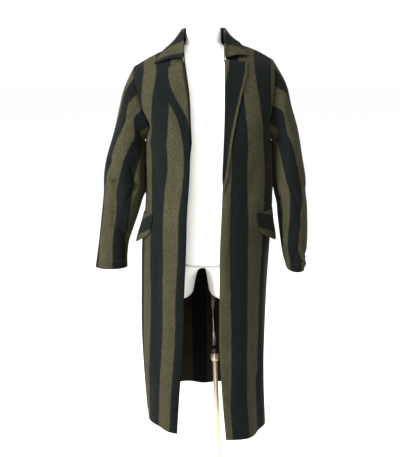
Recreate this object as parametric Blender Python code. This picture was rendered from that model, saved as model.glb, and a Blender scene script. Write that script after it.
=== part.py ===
# Long striped cloth coat on a limbless dress form with a pole stand
#
# Units are metres. The front of the coat faces -Y, +X is to the right of someone
# who looks at the front, and +Z is up. The origin is the centre of the base
# plate's underside. Left and right below are as seen from the front.
import bpy
import bmesh
import math
from mathutils import Vector
from mathutils.bvhtree import BVHTree

# Named sizes
CLOTH = 0.0026
SEAM = 0.0004
LAY_GAP = 0.0011
HEM_FRONT_LEFT = 0.354
HEM_FRONT_RIGHT = 0.342
HEM_BACK = 0.372
UNDERARM = 1.262

for startup in list(bpy.data.objects):
    bpy.data.objects.remove(startup, do_unlink=True)


# Curves

def catmull(points, sub):
    """Smooth line through the points, with sub[i] steps in interval i."""
    out = []
    last = len(points) - 1
    for i in range(last):
        p1 = Vector(points[i])
        p2 = Vector(points[i + 1])
        p0 = Vector(points[i - 1]) if i > 0 else p1 * 2 - p2
        p3 = Vector(points[i + 2]) if i + 2 <= last else p2 * 2 - p1
        t0 = 0.0
        t1 = t0 + max((p1 - p0).length, 1e-6) ** 0.5
        t2 = t1 + max((p2 - p1).length, 1e-6) ** 0.5
        t3 = t2 + max((p3 - p2).length, 1e-6) ** 0.5
        for k in range(sub[i]):
            t = t1 + (t2 - t1) * k / sub[i]
            a1 = p0 * ((t1 - t) / (t1 - t0)) + p1 * ((t - t0) / (t1 - t0))
            a2 = p1 * ((t2 - t) / (t2 - t1)) + p2 * ((t - t1) / (t2 - t1))
            a3 = p2 * ((t3 - t) / (t3 - t2)) + p3 * ((t - t2) / (t3 - t2))
            b1 = a1 * ((t2 - t) / (t2 - t0)) + a2 * ((t - t0) / (t2 - t0))
            b2 = a2 * ((t3 - t) / (t3 - t1)) + a3 * ((t - t1) / (t3 - t1))
            out.append(b1 * ((t2 - t) / (t2 - t1)) + b2 * ((t - t1) / (t2 - t1)))
    out.append(Vector(points[-1]))
    return out


def bezier(a, b, c, d, t):
    s = 1 - t
    return a * (s * s * s) + b * (3 * s * s * t) + c * (3 * s * t * t) + d * (t * t * t)


def even(line, count):
    """The same line with count equal steps along its length."""
    run = [0.0]
    for a, b in zip(line, line[1:]):
        run.append(run[-1] + (b - a).length)
    out = []
    k = 0
    for i in range(count + 1):
        want = run[-1] * i / count
        while k < len(run) - 2 and run[k + 1] < want:
            k += 1
        span = max(run[k + 1] - run[k], 1e-9)
        out.append(line[k].lerp(line[k + 1], min(1.0, (want - run[k]) / span)))
    return out


# Front panels, from the hem up to the shoulder seam
# edge: the opening edge and the roll line. side: side seam, then front of the armhole.
# bow: how far the chest stands forward of a straight line. full: how square the side is.
FRONT_COLUMNS = ("edge_x", "edge_y", "edge_z", "side_x", "side_y", "side_z", "bow", "full")
FRONT_LEFT = [
    (-0.0780, -0.145, HEM_FRONT_LEFT, -0.1840, 0.045, HEM_FRONT_LEFT + 0.006, 0.004, 0.105),
    (-0.0710, -0.149, 0.470, -0.1910, 0.042, 0.472, 0.004, 0.110),
    (-0.0590, -0.151, 0.640, -0.1970, 0.038, 0.640, 0.004, 0.112),
    (-0.0540, -0.151, 0.800, -0.1945, 0.034, 0.800, 0.004, 0.112),
    (-0.0475, -0.151, 0.950, -0.1895, 0.028, 0.950, 0.004, 0.110),
    (-0.0440, -0.149, 1.060, -0.1770, 0.022, 1.060, 0.004, 0.106),
    (-0.0370, -0.146, 1.160, -0.1730, 0.015, 1.160, 0.004, 0.104),
    (-0.0350, -0.141, 1.262, -0.1720, 0.010, UNDERARM, 0.005, 0.100),
    (-0.0375, -0.135, 1.325, -0.1550, -0.052, 1.306, 0.006, 0.058),
    (-0.0405, -0.126, 1.392, -0.1730, -0.060, 1.350, 0.008, 0.040),
    (-0.0480, -0.112, 1.452, -0.1900, -0.053, 1.400, 0.008, 0.030),
    (-0.0570, -0.072, 1.510, -0.2020, -0.033, 1.450, 0.006, 0.018),
]
FRONT_RIGHT = [
    (0.0754, -0.163, HEM_FRONT_RIGHT, 0.2080, 0.040, HEM_FRONT_RIGHT - 0.006, 0.002, 0.178),
    (0.0640, -0.156, 0.470, 0.2045, 0.038, 0.472, 0.003, 0.150),
    (0.0540, -0.152, 0.640, 0.2055, 0.035, 0.640, 0.004, 0.125),
    (0.0530, -0.151, 0.800, 0.2090, 0.032, 0.800, 0.004, 0.120),
    (0.0535, -0.151, 0.950, 0.2160, 0.027, 0.950, 0.004, 0.116),
    (0.0580, -0.149, 1.060, 0.2205, 0.022, 1.060, 0.004, 0.112),
    (0.0615, -0.146, 1.160, 0.2172, 0.015, 1.160, 0.004, 0.108),
    (0.0655, -0.141, 1.262, 0.2122, 0.010, UNDERARM, 0.005, 0.104),
    (0.0675, -0.135, 1.325, 0.1990, -0.052, 1.306, 0.006, 0.058),
    (0.0680, -0.126, 1.392, 0.2060, -0.060, 1.350, 0.008, 0.040),
    (0.0680, -0.112, 1.452, 0.2120, -0.053, 1.403, 0.008, 0.030),
    (0.0690, -0.072, 1.512, 0.2155, -0.033, 1.457, 0.006, 0.018),
]
# Shoulder seams, from the side of the neck to the shoulder point
SEAM_LEFT = [(-0.066, 0.006, 1.549), (-0.110, 0.006, 1.530), (-0.156, 0.004, 1.508), (-0.204, 0.0, 1.480)]
SEAM_RIGHT = [(0.074, 0.006, 1.557), (0.112, 0.006, 1.546), (0.166, 0.004, 1.526), (0.2130, 0.0, 1.500)]

# Back panel: the centre line, with the same rows as the fronts
BACK_COLUMNS = ("centre_x", "centre_y", "centre_z", "arm_y", "full")
BACK = [
    (0.008, 0.214, HEM_BACK, 0.045, 0.120),
    (0.007, 0.203, 0.475, 0.042, 0.115),
    (0.006, 0.184, 0.640, 0.037, 0.105),
    (0.005, 0.163, 0.800, 0.033, 0.095),
    (0.005, 0.144, 0.950, 0.028, 0.086),
    (0.005, 0.132, 1.060, 0.022, 0.080),
    (0.005, 0.128, 1.160, 0.015, 0.080),
    (0.005, 0.130, 1.262, 0.010, 0.080),
    (0.005, 0.130, 1.335, 0.062, 0.050),
    (0.005, 0.126, 1.405, 0.076, 0.036),
    (0.005, 0.115, 1.465, 0.072, 0.026),
    (0.005, 0.094, 1.520, 0.044, 0.016),
]
# Back of the armholes, from under the arm up
BACK_ARM_LEFT = [(-0.166, 1.306), (-0.172, 1.350), (-0.187, 1.402), (-0.200, 1.450)]
BACK_ARM_RIGHT = [(0.204, 1.306), (0.206, 1.350), (0.212, 1.405), (0.2155, 1.458)]
NECK_BACK = [(0.052, 0.046), (0.030, 0.064)]

ROWS_BETWEEN = [3, 3, 3, 3, 2, 2, 2, 2, 2, 2, 2, 3]
FRONT_STEPS = 12
BACK_STEPS = 24

# Hanging folds in the skirt: place along the row 0 to 1, width, depth, height where they fade
FOLD_COLUMNS = ("place", "width", "depth", "fade_z")
FOLDS_FRONT_LEFT = [(0.30, 0.10, -0.004, 0.80), (0.55, 0.13, 0.007, 0.90), (0.80, 0.10, -0.006, 0.75)]
FOLDS_FRONT_RIGHT = [(0.26, 0.12, 0.004, 0.75), (0.50, 0.10, -0.005, 0.70), (0.72, 0.11, 0.006, 0.85)]
FOLDS_BACK = [
    (0.14, 0.06, 0.007, 0.80),
    (0.26, 0.05, -0.007, 0.70),
    (0.38, 0.07, 0.016, 0.95),
    (0.50, 0.06, -0.016, 1.00),
    (0.62, 0.07, 0.018, 0.95),
    (0.75, 0.05, -0.007, 0.70),
    (0.87, 0.06, 0.007, 0.80),
]


def fold_push(folds, place, z):
    push = 0.0
    for at, width, depth, fade in folds:
        if z < fade:
            fall = (fade - z) / (fade - 0.34)
            push += depth * fall ** 1.3 * math.exp(-((place - at) / width) ** 2)
    return push


def front_line(row, places):
    edge = Vector(row[0:3])
    side = Vector(row[3:6])
    bow = row[6]
    full = row[7]
    level = (edge.z + side.z) / 2
    near = edge.lerp(side, 0.42)
    near.y = edge.y - bow
    far = Vector((side.x, side.y - full, edge.z * 0.25 + side.z * 0.75))
    fine = [bezier(edge, near, far, side, k / 60) for k in range(61)]
    return even(fine, places), level


def upright(rows, corners):
    """Smooth lines up through the rows. The lines in corners turn sharply under the arm."""
    columns = []
    for k in range(len(rows[0])):
        points = [line[k] for line in rows]
        if k in corners:
            low = catmull(points[:8], ROWS_BETWEEN[:7])
            columns.append(low[:-1] + catmull(points[7:], ROWS_BETWEEN[7:]))
        else:
            columns.append(catmull(points, ROWS_BETWEEN))
    return [[line[r] for line in columns] for r in range(len(columns[0]))]


def front_grid(table, seam, folds):
    rows = []
    for row in table:
        line, level = front_line(row, FRONT_STEPS)
        if level < 1.0:
            for k, point in enumerate(line):
                place = k / FRONT_STEPS
                ends = min(1.0, 4 * place, 4 * (1 - place))
                push = fold_push(folds, place, level) * ends
                aim = Vector((point.x - 0.008, point.y * 0.9 - 0.02, 0)).normalized()
                line[k] = point + aim * push
        rows.append(line)
    top = even(catmull(seam, [8, 8, 8]), FRONT_STEPS)
    rows.append(top)
    return upright(rows, [FRONT_STEPS])


def back_half(side, centre, full, level):
    near = Vector((side.x, side.y + full, side.z))
    far = Vector((centre.x + (side.x - centre.x) * 0.50, centre.y, centre.z))
    fine = [bezier(side, near, far, centre, k / 60) for k in range(61)]
    return even(fine, BACK_STEPS // 2)


def back_grid():
    rows = []
    for i, row in enumerate(BACK):
        centre = Vector(row[0:3])
        left = Vector(FRONT_LEFT[i][3:6])
        right = Vector(FRONT_RIGHT[i][3:6])
        if i > 7:
            left = Vector((BACK_ARM_LEFT[i - 8][0], row[3], BACK_ARM_LEFT[i - 8][1]))
            right = Vector((BACK_ARM_RIGHT[i - 8][0], row[3], BACK_ARM_RIGHT[i - 8][1]))
        if i == 0:
            left.z = HEM_FRONT_LEFT + 0.006
            right.z = HEM_FRONT_RIGHT - 0.006
        line = back_half(left, centre, row[4], centre.z)
        line += back_half(right, centre, row[4], centre.z)[-2::-1]
        if centre.z < 1.05:
            for k, point in enumerate(line):
                place = k / BACK_STEPS
                ends = min(1.0, 8 * place, 8 * (1 - place))
                aim = Vector((point.x - 0.006, point.y * 0.8, 0)).normalized()
                line[k] = point + aim * (fold_push(FOLDS_BACK, place, centre.z) * ends)
        rows.append(line)
    left_seam = even(catmull(SEAM_LEFT, [8, 8, 8]), 7)[::-1]
    right_seam = even(catmull(SEAM_RIGHT, [8, 8, 8]), 7)
    neck = [Vector(SEAM_LEFT[0])]
    for x, y in NECK_BACK:
        neck.append(Vector((0.004 - x, y, 1.553)))
    neck.append(Vector((0.004, 0.070, 1.553)))
    for x, y in NECK_BACK[::-1]:
        neck.append(Vector((0.006 + x, y, 1.555)))
    neck.append(Vector(SEAM_RIGHT[0]))
    neck = even(catmull(neck, [4] * (len(neck) - 1)), BACK_STEPS - 14)
    rows.append(left_seam[:-1] + neck + right_seam[1:])
    return upright(rows, [0, BACK_STEPS])


# Turning a grid of points into a thin closed body

def normals_of(grid):
    rows = len(grid)
    cols = len(grid[0])
    out = []
    for r in range(rows):
        line = []
        for c in range(cols):
            across = grid[r][min(c + 1, cols - 1)] - grid[r][max(c - 1, 0)]
            along = grid[min(r + 1, rows - 1)][c] - grid[max(r - 1, 0)][c]
            line.append(across.cross(along).normalized())
        out.append(line)
    return out


def thin_body(name, grid, normals, thick):
    """Closed sheet: the grid is its outer face, and normals point out of it."""
    rows = len(grid)
    cols = len(grid[0])
    mesh = bmesh.new()
    outer = []
    inner = []
    for r in range(rows):
        outer.append([mesh.verts.new(grid[r][c]) for c in range(cols)])
        inner.append([mesh.verts.new(grid[r][c] - normals[r][c] * thick) for c in range(cols)])
    for r in range(rows - 1):
        for c in range(cols - 1):
            mesh.faces.new((outer[r][c], outer[r][c + 1], outer[r + 1][c + 1], outer[r + 1][c]))
            mesh.faces.new((inner[r][c], inner[r + 1][c], inner[r + 1][c + 1], inner[r][c + 1]))
    ring = [(0, c) for c in range(cols)]
    ring += [(r, cols - 1) for r in range(1, rows)]
    ring += [(rows - 1, c) for c in range(cols - 2, -1, -1)]
    ring += [(r, 0) for r in range(rows - 2, 0, -1)]
    for i, (r, c) in enumerate(ring):
        s, d = ring[(i + 1) % len(ring)]
        mesh.faces.new((outer[r][c], inner[r][c], inner[s][d], outer[s][d]))
    return finish_mesh(name, mesh)


def finish_mesh(name, mesh):
    bmesh.ops.recalc_face_normals(mesh, faces=mesh.faces[:])
    bmesh.ops.triangulate(mesh, faces=mesh.faces[:])
    if mesh.calc_volume(signed=True) < 0:
        bmesh.ops.reverse_faces(mesh, faces=mesh.faces[:])
    data = bpy.data.meshes.new(name)
    mesh.to_mesh(data)
    mesh.free()
    body = bpy.data.objects.new(name, data)
    bpy.context.scene.collection.objects.link(body)
    return body


def seam_flat(normals, rows, cols):
    """Take the front-to-back part out of the normals where two panels meet."""
    for r in rows:
        for c in cols:
            normal = normals[r][c]
            normal.y = 0.0
            normal.normalize()


def outward(grid, normals, axis):
    """Turn all normals if they point towards the axis of the body."""
    r = len(grid) // 2
    c = len(grid[0]) // 2
    away = grid[r][c] - axis
    away.z = 0
    if normals[r][c].dot(away) < 0:
        for line in normals:
            for normal in line:
                normal.negate()


AXIS = Vector((0.005, 0.0, 0.0))
UNDER_ROW = sum(ROWS_BETWEEN[:7])


def front_panel(name, table, seam, folds):
    grid = front_grid(table, seam, folds)
    normals = normals_of(grid)
    outward(grid, normals, AXIS)
    last = len(grid) - 1
    seam_flat(normals, range(0, UNDER_ROW + 1), [FRONT_STEPS])
    seam_flat(normals, [last], range(FRONT_STEPS + 1))
    for r in range(0, UNDER_ROW + 1):
        grid[r][FRONT_STEPS].y -= SEAM / 2
    for c in range(FRONT_STEPS + 1):
        grid[last][c].y -= SEAM / 2
    thin_body(name, grid, normals, CLOTH)
    return grid, normals


def back_panel(name):
    grid = back_grid()
    normals = normals_of(grid)
    outward(grid, normals, AXIS)
    last = len(grid) - 1
    seam_flat(normals, range(0, UNDER_ROW + 1), [0, BACK_STEPS])
    seam_flat(normals, [last], list(range(0, 8)) + list(range(BACK_STEPS - 7, BACK_STEPS + 1)))
    for r in range(0, UNDER_ROW + 1):
        for c in (0, BACK_STEPS):
            grid[r][c].y += SEAM / 2
    for c in list(range(0, 8)) + list(range(BACK_STEPS - 7, BACK_STEPS + 1)):
        grid[last][c].y += SEAM / 2
    thin_body(name, grid, normals, CLOTH)
    return grid, normals


left_grid, left_normals = front_panel("coat_front_left", FRONT_LEFT, SEAM_LEFT, FOLDS_FRONT_LEFT)
right_grid, right_normals = front_panel("coat_front_right", FRONT_RIGHT, SEAM_RIGHT, FOLDS_FRONT_RIGHT)
back_points, back_normals = back_panel("coat_back")


# Sleeves: rings from the armhole, round the bend under the arm, and down to the cuff
# lean: 0 is an upright ring, 90 a level one. x, y, z: middle of the ring.
# out: half width away from the body. deep: half width front to back.
SLEEVE_COLUMNS = ("lean", "x", "y", "z", "out", "deep")
SLEEVE_LEFT = [
    (20, -0.2032, 0.006, 1.3413, 0.0860, 0.073),
    (38, -0.2130, 0.005, 1.3072, 0.0620, 0.072),
    (60, -0.2183, 0.003, 1.2805, 0.0515, 0.070),
    (82, -0.2247, 0.002, 1.2580, 0.0505, 0.068),
    (90, -0.2335, 0.000, 1.2060, 0.0595, 0.064),
    (90, -0.2383, -0.002, 1.1550, 0.0638, 0.061),
    (90, -0.2405, -0.004, 1.1040, 0.0635, 0.058),
    (90, -0.2480, -0.006, 1.0650, 0.0600, 0.055),
    (90, -0.2560, -0.008, 1.0280, 0.0565, 0.052),
    (90, -0.2660, -0.010, 0.9860, 0.0515, 0.049),
    (90, -0.2760, -0.011, 0.9440, 0.0475, 0.045),
    (90, -0.2825, -0.011, 0.8980, 0.0480, 0.040),
    (90, -0.2855, -0.010, 0.8620, 0.0505, 0.037),
]
SLEEVE_RIGHT = [
    (13, 0.2334, 0.006, 1.3460, 0.0872, 0.075),
    (29, 0.2432, 0.005, 1.3105, 0.0587, 0.076),
    (58, 0.2530, 0.003, 1.2790, 0.0436, 0.076),
    (83, 0.2584, 0.001, 1.2550, 0.0409, 0.076),
    (90, 0.2637, -0.002, 1.2060, 0.0447, 0.076),
    (90, 0.2687, -0.004, 1.1550, 0.0492, 0.075),
    (90, 0.2714, -0.007, 1.1040, 0.0489, 0.074),
    (90, 0.2787, -0.010, 1.0650, 0.0467, 0.072),
    (90, 0.2815, -0.012, 1.0280, 0.0460, 0.070),
    (90, 0.2850, -0.014, 0.9860, 0.0440, 0.068),
    (90, 0.2880, -0.015, 0.9440, 0.0410, 0.066),
    (90, 0.2905, -0.015, 0.8980, 0.0350, 0.064),
    (90, 0.2950, -0.014, 0.8600, 0.0280, 0.061),
]
SLEEVE_POINTS = 20
SLEEVE_BETWEEN = [1, 1, 1, 1, 2, 2, 2, 1, 1, 2, 2, 2, 2]


def armhole(front, back, front_col, back_col):
    """Points round the armhole: the shoulder point, down the front, up the back."""
    ahead = [front[r][front_col] for r in range(UNDER_ROW, len(front))]
    behind = [back[r][back_col] for r in range(UNDER_ROW, len(back))]
    half = SLEEVE_POINTS // 2
    return even(ahead[::-1], half)[:-1] + even(behind, half)[:-1]


def sleeve(name, hole, table, sign):
    stations = []
    stations.append([point + Vector((sign * 0.0007, 0, 0)) for point in hole])
    for lean, x, y, z, out, deep in table:
        tilt = math.radians(lean)
        away = Vector((sign * math.sin(tilt), 0, math.cos(tilt)))
        ring = []
        for k in range(SLEEVE_POINTS):
            turn = 2 * math.pi * k / SLEEVE_POINTS
            across = math.cos(turn)
            ahead = math.sin(turn)
            across = math.copysign(abs(across) ** 0.92, across)
            ring.append(Vector((x, y, z)) + away * (out * across) + Vector((0, -deep * ahead, 0)))
        stations.append(ring)
    lines = []
    for k in range(SLEEVE_POINTS):
        lines.append(catmull([ring[k] for ring in stations], SLEEVE_BETWEEN))
    rings = [[lines[k][r] for k in range(SLEEVE_POINTS)] for r in range(len(lines[0]))]
    mesh = bmesh.new()
    outer = []
    inner = []
    for ring in rings:
        middle = Vector((0, 0, 0))
        for point in ring:
            middle += point / SLEEVE_POINTS
        outer.append([mesh.verts.new(point) for point in ring])
        line = []
        for k, point in enumerate(ring):
            chord = ring[(k + 1) % SLEEVE_POINTS] - ring[k - 1]
            inward = middle - point
            inward -= chord * (inward.dot(chord) / chord.length_squared)
            line.append(mesh.verts.new(point + inward.normalized() * CLOTH))
        inner.append(line)
    count = len(rings)
    for r in range(count - 1):
        for k in range(SLEEVE_POINTS):
            n = (k + 1) % SLEEVE_POINTS
            mesh.faces.new((outer[r][k], outer[r][n], outer[r + 1][n], outer[r + 1][k]))
            mesh.faces.new((inner[r][k], inner[r + 1][k], inner[r + 1][n], inner[r][n]))
    for k in range(SLEEVE_POINTS):
        n = (k + 1) % SLEEVE_POINTS
        mesh.faces.new((outer[0][k], inner[0][k], inner[0][n], outer[0][n]))
        mesh.faces.new((outer[count - 1][k], outer[count - 1][n], inner[count - 1][n], inner[count - 1][k]))
    finish_mesh(name, mesh)
    return rings


sleeve("sleeve_left", armhole(left_grid, back_points, FRONT_STEPS, 0), SLEEVE_LEFT, -1)
sleeve("sleeve_right", armhole(right_grid, back_points, FRONT_STEPS, BACK_STEPS), SLEEVE_RIGHT, 1)


# What lies on the panels: found on a panel's own faces, then moved out

def faces_of(grid):
    points = [point for line in grid for point in line]
    cols = len(grid[0])
    faces = []
    for r in range(len(grid) - 1):
        for c in range(cols - 1):
            a = r * cols + c
            faces.append((a, a + 1, a + cols + 1))
            faces.append((a, a + cols + 1, a + cols))
    return BVHTree.FromPolygons(points, faces)


def panel_at(grid, place, z):
    """The panel's point at a place across it, 0 to 1 from the opening edge, and a height."""
    steps = len(grid[0]) - 1
    c = min(int(place * steps), steps - 1)
    part = place * steps - c
    line = [row[c].lerp(row[c + 1], part) for row in grid]
    for low, high in zip(line, line[1:]):
        if low.z <= z <= high.z:
            return low.lerp(high, (z - low.z) / max(high.z - low.z, 1e-9))
    return line[-1] if z > line[-1].z else line[0]


def place_of(grid, x, z):
    """The place across the panel where a line of this height reaches this x."""
    low = 0.0
    high = 1.0
    start = panel_at(grid, 0.0, z).x
    for again in range(24):
        middle = (low + high) / 2
        if abs(panel_at(grid, middle, z).x - start) < abs(x - start):
            low = middle
        else:
            high = middle
    return (low + high) / 2


def laid(name, grid, rows, steps, gap):
    """A flat piece on a panel. Each row: place and height at its inner and its outer edge."""
    net = []
    rise = []
    for inner, inner_z, outer, outer_z, stand_in, stand_out in rows:
        line = []
        for k in range(steps + 1):
            t = k / steps
            line.append(panel_at(grid, inner + (outer - inner) * t, inner_z + (outer_z - inner_z) * t))
        net.append(line)
        rise.append([gap + stand_in + (stand_out - stand_in) * k / steps for k in range(steps + 1)])
    normals = normals_of(net)
    outward(net, normals, AXIS)
    tree = faces_of(grid)
    for again in range(6):
        for r in range(len(net) - 1):
            for c in range(steps):
                corners = ((r, c), (r, c + 1), (r + 1, c), (r + 1, c + 1))
                middle = Vector((0, 0, 0))
                aim = Vector((0, 0, 0))
                for i, j in corners:
                    middle += (net[i][j] + normals[i][j] * rise[i][j]) / 4
                    aim += normals[i][j] / 4
                hit, normal, index, distance = tree.find_nearest(middle)
                above = (middle - hit).dot(aim.normalized())
                if above < gap * 0.7:
                    for i, j in corners:
                        rise[i][j] += gap * 0.7 - above
    top = []
    for r, line in enumerate(net):
        top.append([point + normals[r][c] * (rise[r][c] + CLOTH) for c, point in enumerate(line)])
    thin_body(name, top, normals, CLOTH)
    return top


left_tree = faces_of(left_grid)
right_tree = faces_of(right_grid)

# Lapels, from the break up to the gorge: the height at the roll line, then the outer edge
LAPEL_COLUMNS = ("roll_z", "outer_x", "outer_z")
LAPEL_LEFT = [
    (1.215, -0.0420, 1.215),
    (1.245, -0.0500, 1.245),
    (1.275, -0.0560, 1.276),
    (1.308, -0.0615, 1.306),
    (1.340, -0.0700, 1.335),
    (1.370, -0.0850, 1.364),
    (1.400, -0.1010, 1.392),
    (1.428, -0.1130, 1.420),
    (1.455, -0.1195, 1.448),
    (1.490, -0.1200, 1.470),
]
LAPEL_RIGHT = [
    (1.122, 0.0690, 1.122),
    (1.160, 0.0730, 1.160),
    (1.200, 0.0770, 1.198),
    (1.240, 0.0815, 1.236),
    (1.280, 0.0870, 1.276),
    (1.320, 0.0945, 1.316),
    (1.360, 0.1025, 1.356),
    (1.400, 0.1120, 1.398),
    (1.440, 0.1225, 1.440),
    (1.470, 0.1290, 1.468),
    (1.496, 0.1300, 1.492),
]


def lapel(name, grid, table):
    line = catmull([(z, x, outer_z) for z, x, outer_z in table], [2] * (len(table) - 1))
    rows = [(0.004, z, place_of(grid, x, outer_z), outer_z, 0.0, 0.0) for z, x, outer_z in line]
    return laid(name, grid, rows, 6, LAY_GAP)


lapel_left_top = lapel("lapel_left", left_grid, LAPEL_LEFT)
lapel_right_top = lapel("lapel_right", right_grid, LAPEL_RIGHT)

# Pocket flaps: rows from the top stitched edge to the lower edge. They reach round the side.
# stand_in, stand_out: how far the two ends of a row stand off the panel
FLAP_COLUMNS = ("inner_place", "inner_z", "outer_place", "outer_z", "stand_in", "stand_out")
FLAP_LEFT = [
    (0.51, 1.042, 0.87, 1.040, 0.0, 0.0),
    (0.52, 1.022, 0.88, 1.018, 0.0005, 0.0025),
    (0.53, 1.005, 0.89, 0.996, 0.001, 0.006),
    (0.54, 0.990, 0.90, 0.966, 0.0015, 0.012),
    (0.56, 0.978, 0.89, 0.936, 0.002, 0.019),
]
FLAP_RIGHT = [
    (0.44, 1.052, 0.81, 1.056, 0.0, 0.0),
    (0.45, 1.034, 0.82, 1.034, 0.0005, 0.0025),
    (0.47, 1.016, 0.83, 1.010, 0.001, 0.006),
    (0.49, 1.000, 0.83, 0.979, 0.0015, 0.014),
    (0.52, 0.988, 0.82, 0.950, 0.002, 0.021),
]
flap_left_top = laid("pocket_flap_left", left_grid, FLAP_LEFT, 6, LAY_GAP)
flap_right_top = laid("pocket_flap_right", right_grid, FLAP_RIGHT, 6, LAY_GAP)

# Collar: stations from the left front end round the back of the neck to the right front end
COLLAR_COLUMNS = (
    "base_x", "base_y", "base_z", "fold_x", "fold_y", "fold_z", "edge_x", "edge_y", "edge_z", "bulge")
COLLAR = [
    (-0.0495, -0.086, 1.4920, -0.0505, -0.099, 1.5060, -0.1390, -0.062, 1.4880, 0.005),
    (-0.0525, -0.056, 1.5200, -0.0515, -0.066, 1.5430, -0.1240, -0.032, 1.5150, 0.003),
    (-0.0560, -0.012, 1.5450, -0.0535, -0.010, 1.5820, -0.1060, 0.010, 1.5350, -0.003),
    (-0.0500, 0.038, 1.5560, -0.0460, 0.040, 1.5890, -0.0800, 0.074, 1.5240, -0.001),
    (-0.0270, 0.0600, 1.5560, -0.0250, 0.066, 1.5900, -0.0430, 0.112, 1.5180, 0.003),
    (0.0045, 0.0660, 1.5560, 0.0045, 0.072, 1.5900, 0.0045, 0.122, 1.5160, 0.004),
    (0.0360, 0.0600, 1.5560, 0.0340, 0.066, 1.5900, 0.0520, 0.112, 1.5200, 0.003),
    (0.0600, 0.038, 1.5580, 0.0560, 0.040, 1.5900, 0.0890, 0.074, 1.5280, -0.001),
    (0.0665, -0.012, 1.5480, 0.0640, -0.010, 1.5840, 0.1060, 0.009, 1.5545, -0.003),
    (0.0640, -0.056, 1.5210, 0.0630, -0.066, 1.5440, 0.1270, -0.032, 1.5290, 0.003),
    (0.0630, -0.086, 1.4930, 0.0635, -0.099, 1.5070, 0.1340, -0.056, 1.5130, 0.005),
]
ALL_FACES = [left_tree, right_tree, faces_of(back_points)]


def lift(point, need):
    """Move a point out until it is at least need above every panel."""
    for again in range(3):
        for tree in ALL_FACES:
            hit, normal, index, distance = tree.find_nearest(point)
            if hit is None or distance > 0.03:
                continue
            if normal.dot(hit - Vector((0.005, 0.0, hit.z - 0.12))) < 0:
                normal = -normal
            above = (point - hit).dot(normal)
            beside = abs(above) < distance * 0.97
            if distance < need or (above < 0 and distance < 0.02 and not beside):
                point = point + normal * (need - above)
    return point


def collar_profile(row):
    base = Vector(row[0:3])
    fold = Vector(row[3:6])
    edge = Vector(row[6:9])
    out = edge - fold
    out.z = 0
    out.normalize()
    up = (fold - base).normalized()
    line = [base, base.lerp(fold, 0.5) - out * 0.0004, fold - up * 0.004]
    line.append(fold + out * 0.0008 + up * 0.0010)
    line.append(fold + out * 0.0036 + up * 0.0034)
    line.append(fold + out * 0.0072 + up * 0.0034)
    start = fold + out * 0.0106 + up * 0.0006
    for k in range(5):
        t = k / 4
        line.append(start.lerp(edge, t) + Vector((0, 0, row[9] * math.sin(math.pi * t))))
    return line


def collar_body(name):
    stations = [collar_profile(row) for row in COLLAR]
    between = [3, 3, 3, 2, 2, 2, 2, 3, 3, 3]
    columns = []
    for k in range(len(stations[0])):
        columns.append(catmull([line[k] for line in stations], between))
    grid = [[columns[k][r] for k in range(len(columns))] for r in range(len(columns[0]))]
    for line in grid:
        for k in range(6, len(line)):
            line[k] = lift(line[k], CLOTH * 1.3 + LAY_GAP)
    normals = normals_of(grid)
    middle = len(grid) // 2
    if normals[middle][-2].y < 0:
        for line in normals:
            for normal in line:
                normal.negate()
    return thin_body(name, grid, normals, CLOTH), grid


collar, collar_grid = collar_body("collar")


# Dress form, smooth and whole: a neck, a trunk and two short stubs, with no arms or head
FORM_COLUMNS = ("z", "half_width", "front", "back")
FORM = [
    (0.886, 0.156, 0.102, 0.106),
    (0.915, 0.160, 0.106, 0.114),
    (0.945, 0.161, 0.108, 0.116),
    (0.990, 0.160, 0.108, 0.112),
    (1.060, 0.148, 0.104, 0.096),
    (1.130, 0.138, 0.106, 0.088),
    (1.200, 0.142, 0.114, 0.094),
    (1.270, 0.152, 0.118, 0.102),
    (1.330, 0.164, 0.112, 0.106),
    (1.385, 0.174, 0.100, 0.102),
    (1.430, 0.182, 0.086, 0.090),
    (1.462, 0.186, 0.074, 0.076),
    (1.485, 0.182, 0.064, 0.064),
    (1.5030, 0.1580, 0.056, 0.056),
    (1.5145, 0.1340, 0.052, 0.053),
    (1.5245, 0.1110, 0.051, 0.051),
    (1.5325, 0.0890, 0.050, 0.050),
    (1.5380, 0.0680, 0.049, 0.049),
    (1.5440, 0.0545, 0.0485, 0.0485),
    (1.5560, 0.0525, 0.048, 0.048),
    (1.575, 0.0520, 0.048, 0.048),
    (1.598, 0.0510, 0.047, 0.047),
    (1.607, 0.0460, 0.042, 0.042),
    (1.611, 0.0320, 0.029, 0.029),
]
FORM_X = 0.0045
FORM_Y = 0.004
FORM_POINTS = 32
STUB_COLUMNS = ("z", "half_width", "half_depth", "x", "slope")
STUB = [
    (0.762, 0.054, 0.064, 0.087, 0.14),
    (0.765, 0.062, 0.074, 0.087, 0.14),
    (0.776, 0.066, 0.080, 0.087, 0.12),
    (0.806, 0.069, 0.087, 0.086, 0.06),
    (0.845, 0.073, 0.095, 0.084, 0.0),
]
STUB_MIDDLE = -0.002


def ring_points(x, y, z, half, front, back, count):
    out = []
    for k in range(count):
        turn = 2 * math.pi * k / count
        c = math.cos(turn)
        s = math.sin(turn)
        wide = math.copysign(abs(c) ** 0.86, c) * half
        deep = math.copysign(abs(s) ** 0.94, s) * (back if s > 0 else front)
        out.append(Vector((x + wide, y + deep, z)))
    return out


def skin(mesh, rings, close_low=True, close_high=True):
    verts = [[mesh.verts.new(point) for point in ring] for ring in rings]
    count = len(rings[0])
    for a, b in zip(verts, verts[1:]):
        for k in range(count):
            n = (k + 1) % count
            mesh.faces.new((a[k], a[n], b[n], b[k]))
    if close_low:
        mesh.faces.new(verts[0][::-1])
    if close_high:
        mesh.faces.new(verts[-1])
    return verts


FORM_GAP = 0.0007


def inner_tree(grid, normals):
    """The face of a panel that looks at the form."""
    return faces_of([[point - normals[r][c] * CLOTH for c, point in enumerate(line)]
                     for r, line in enumerate(grid)])


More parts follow.
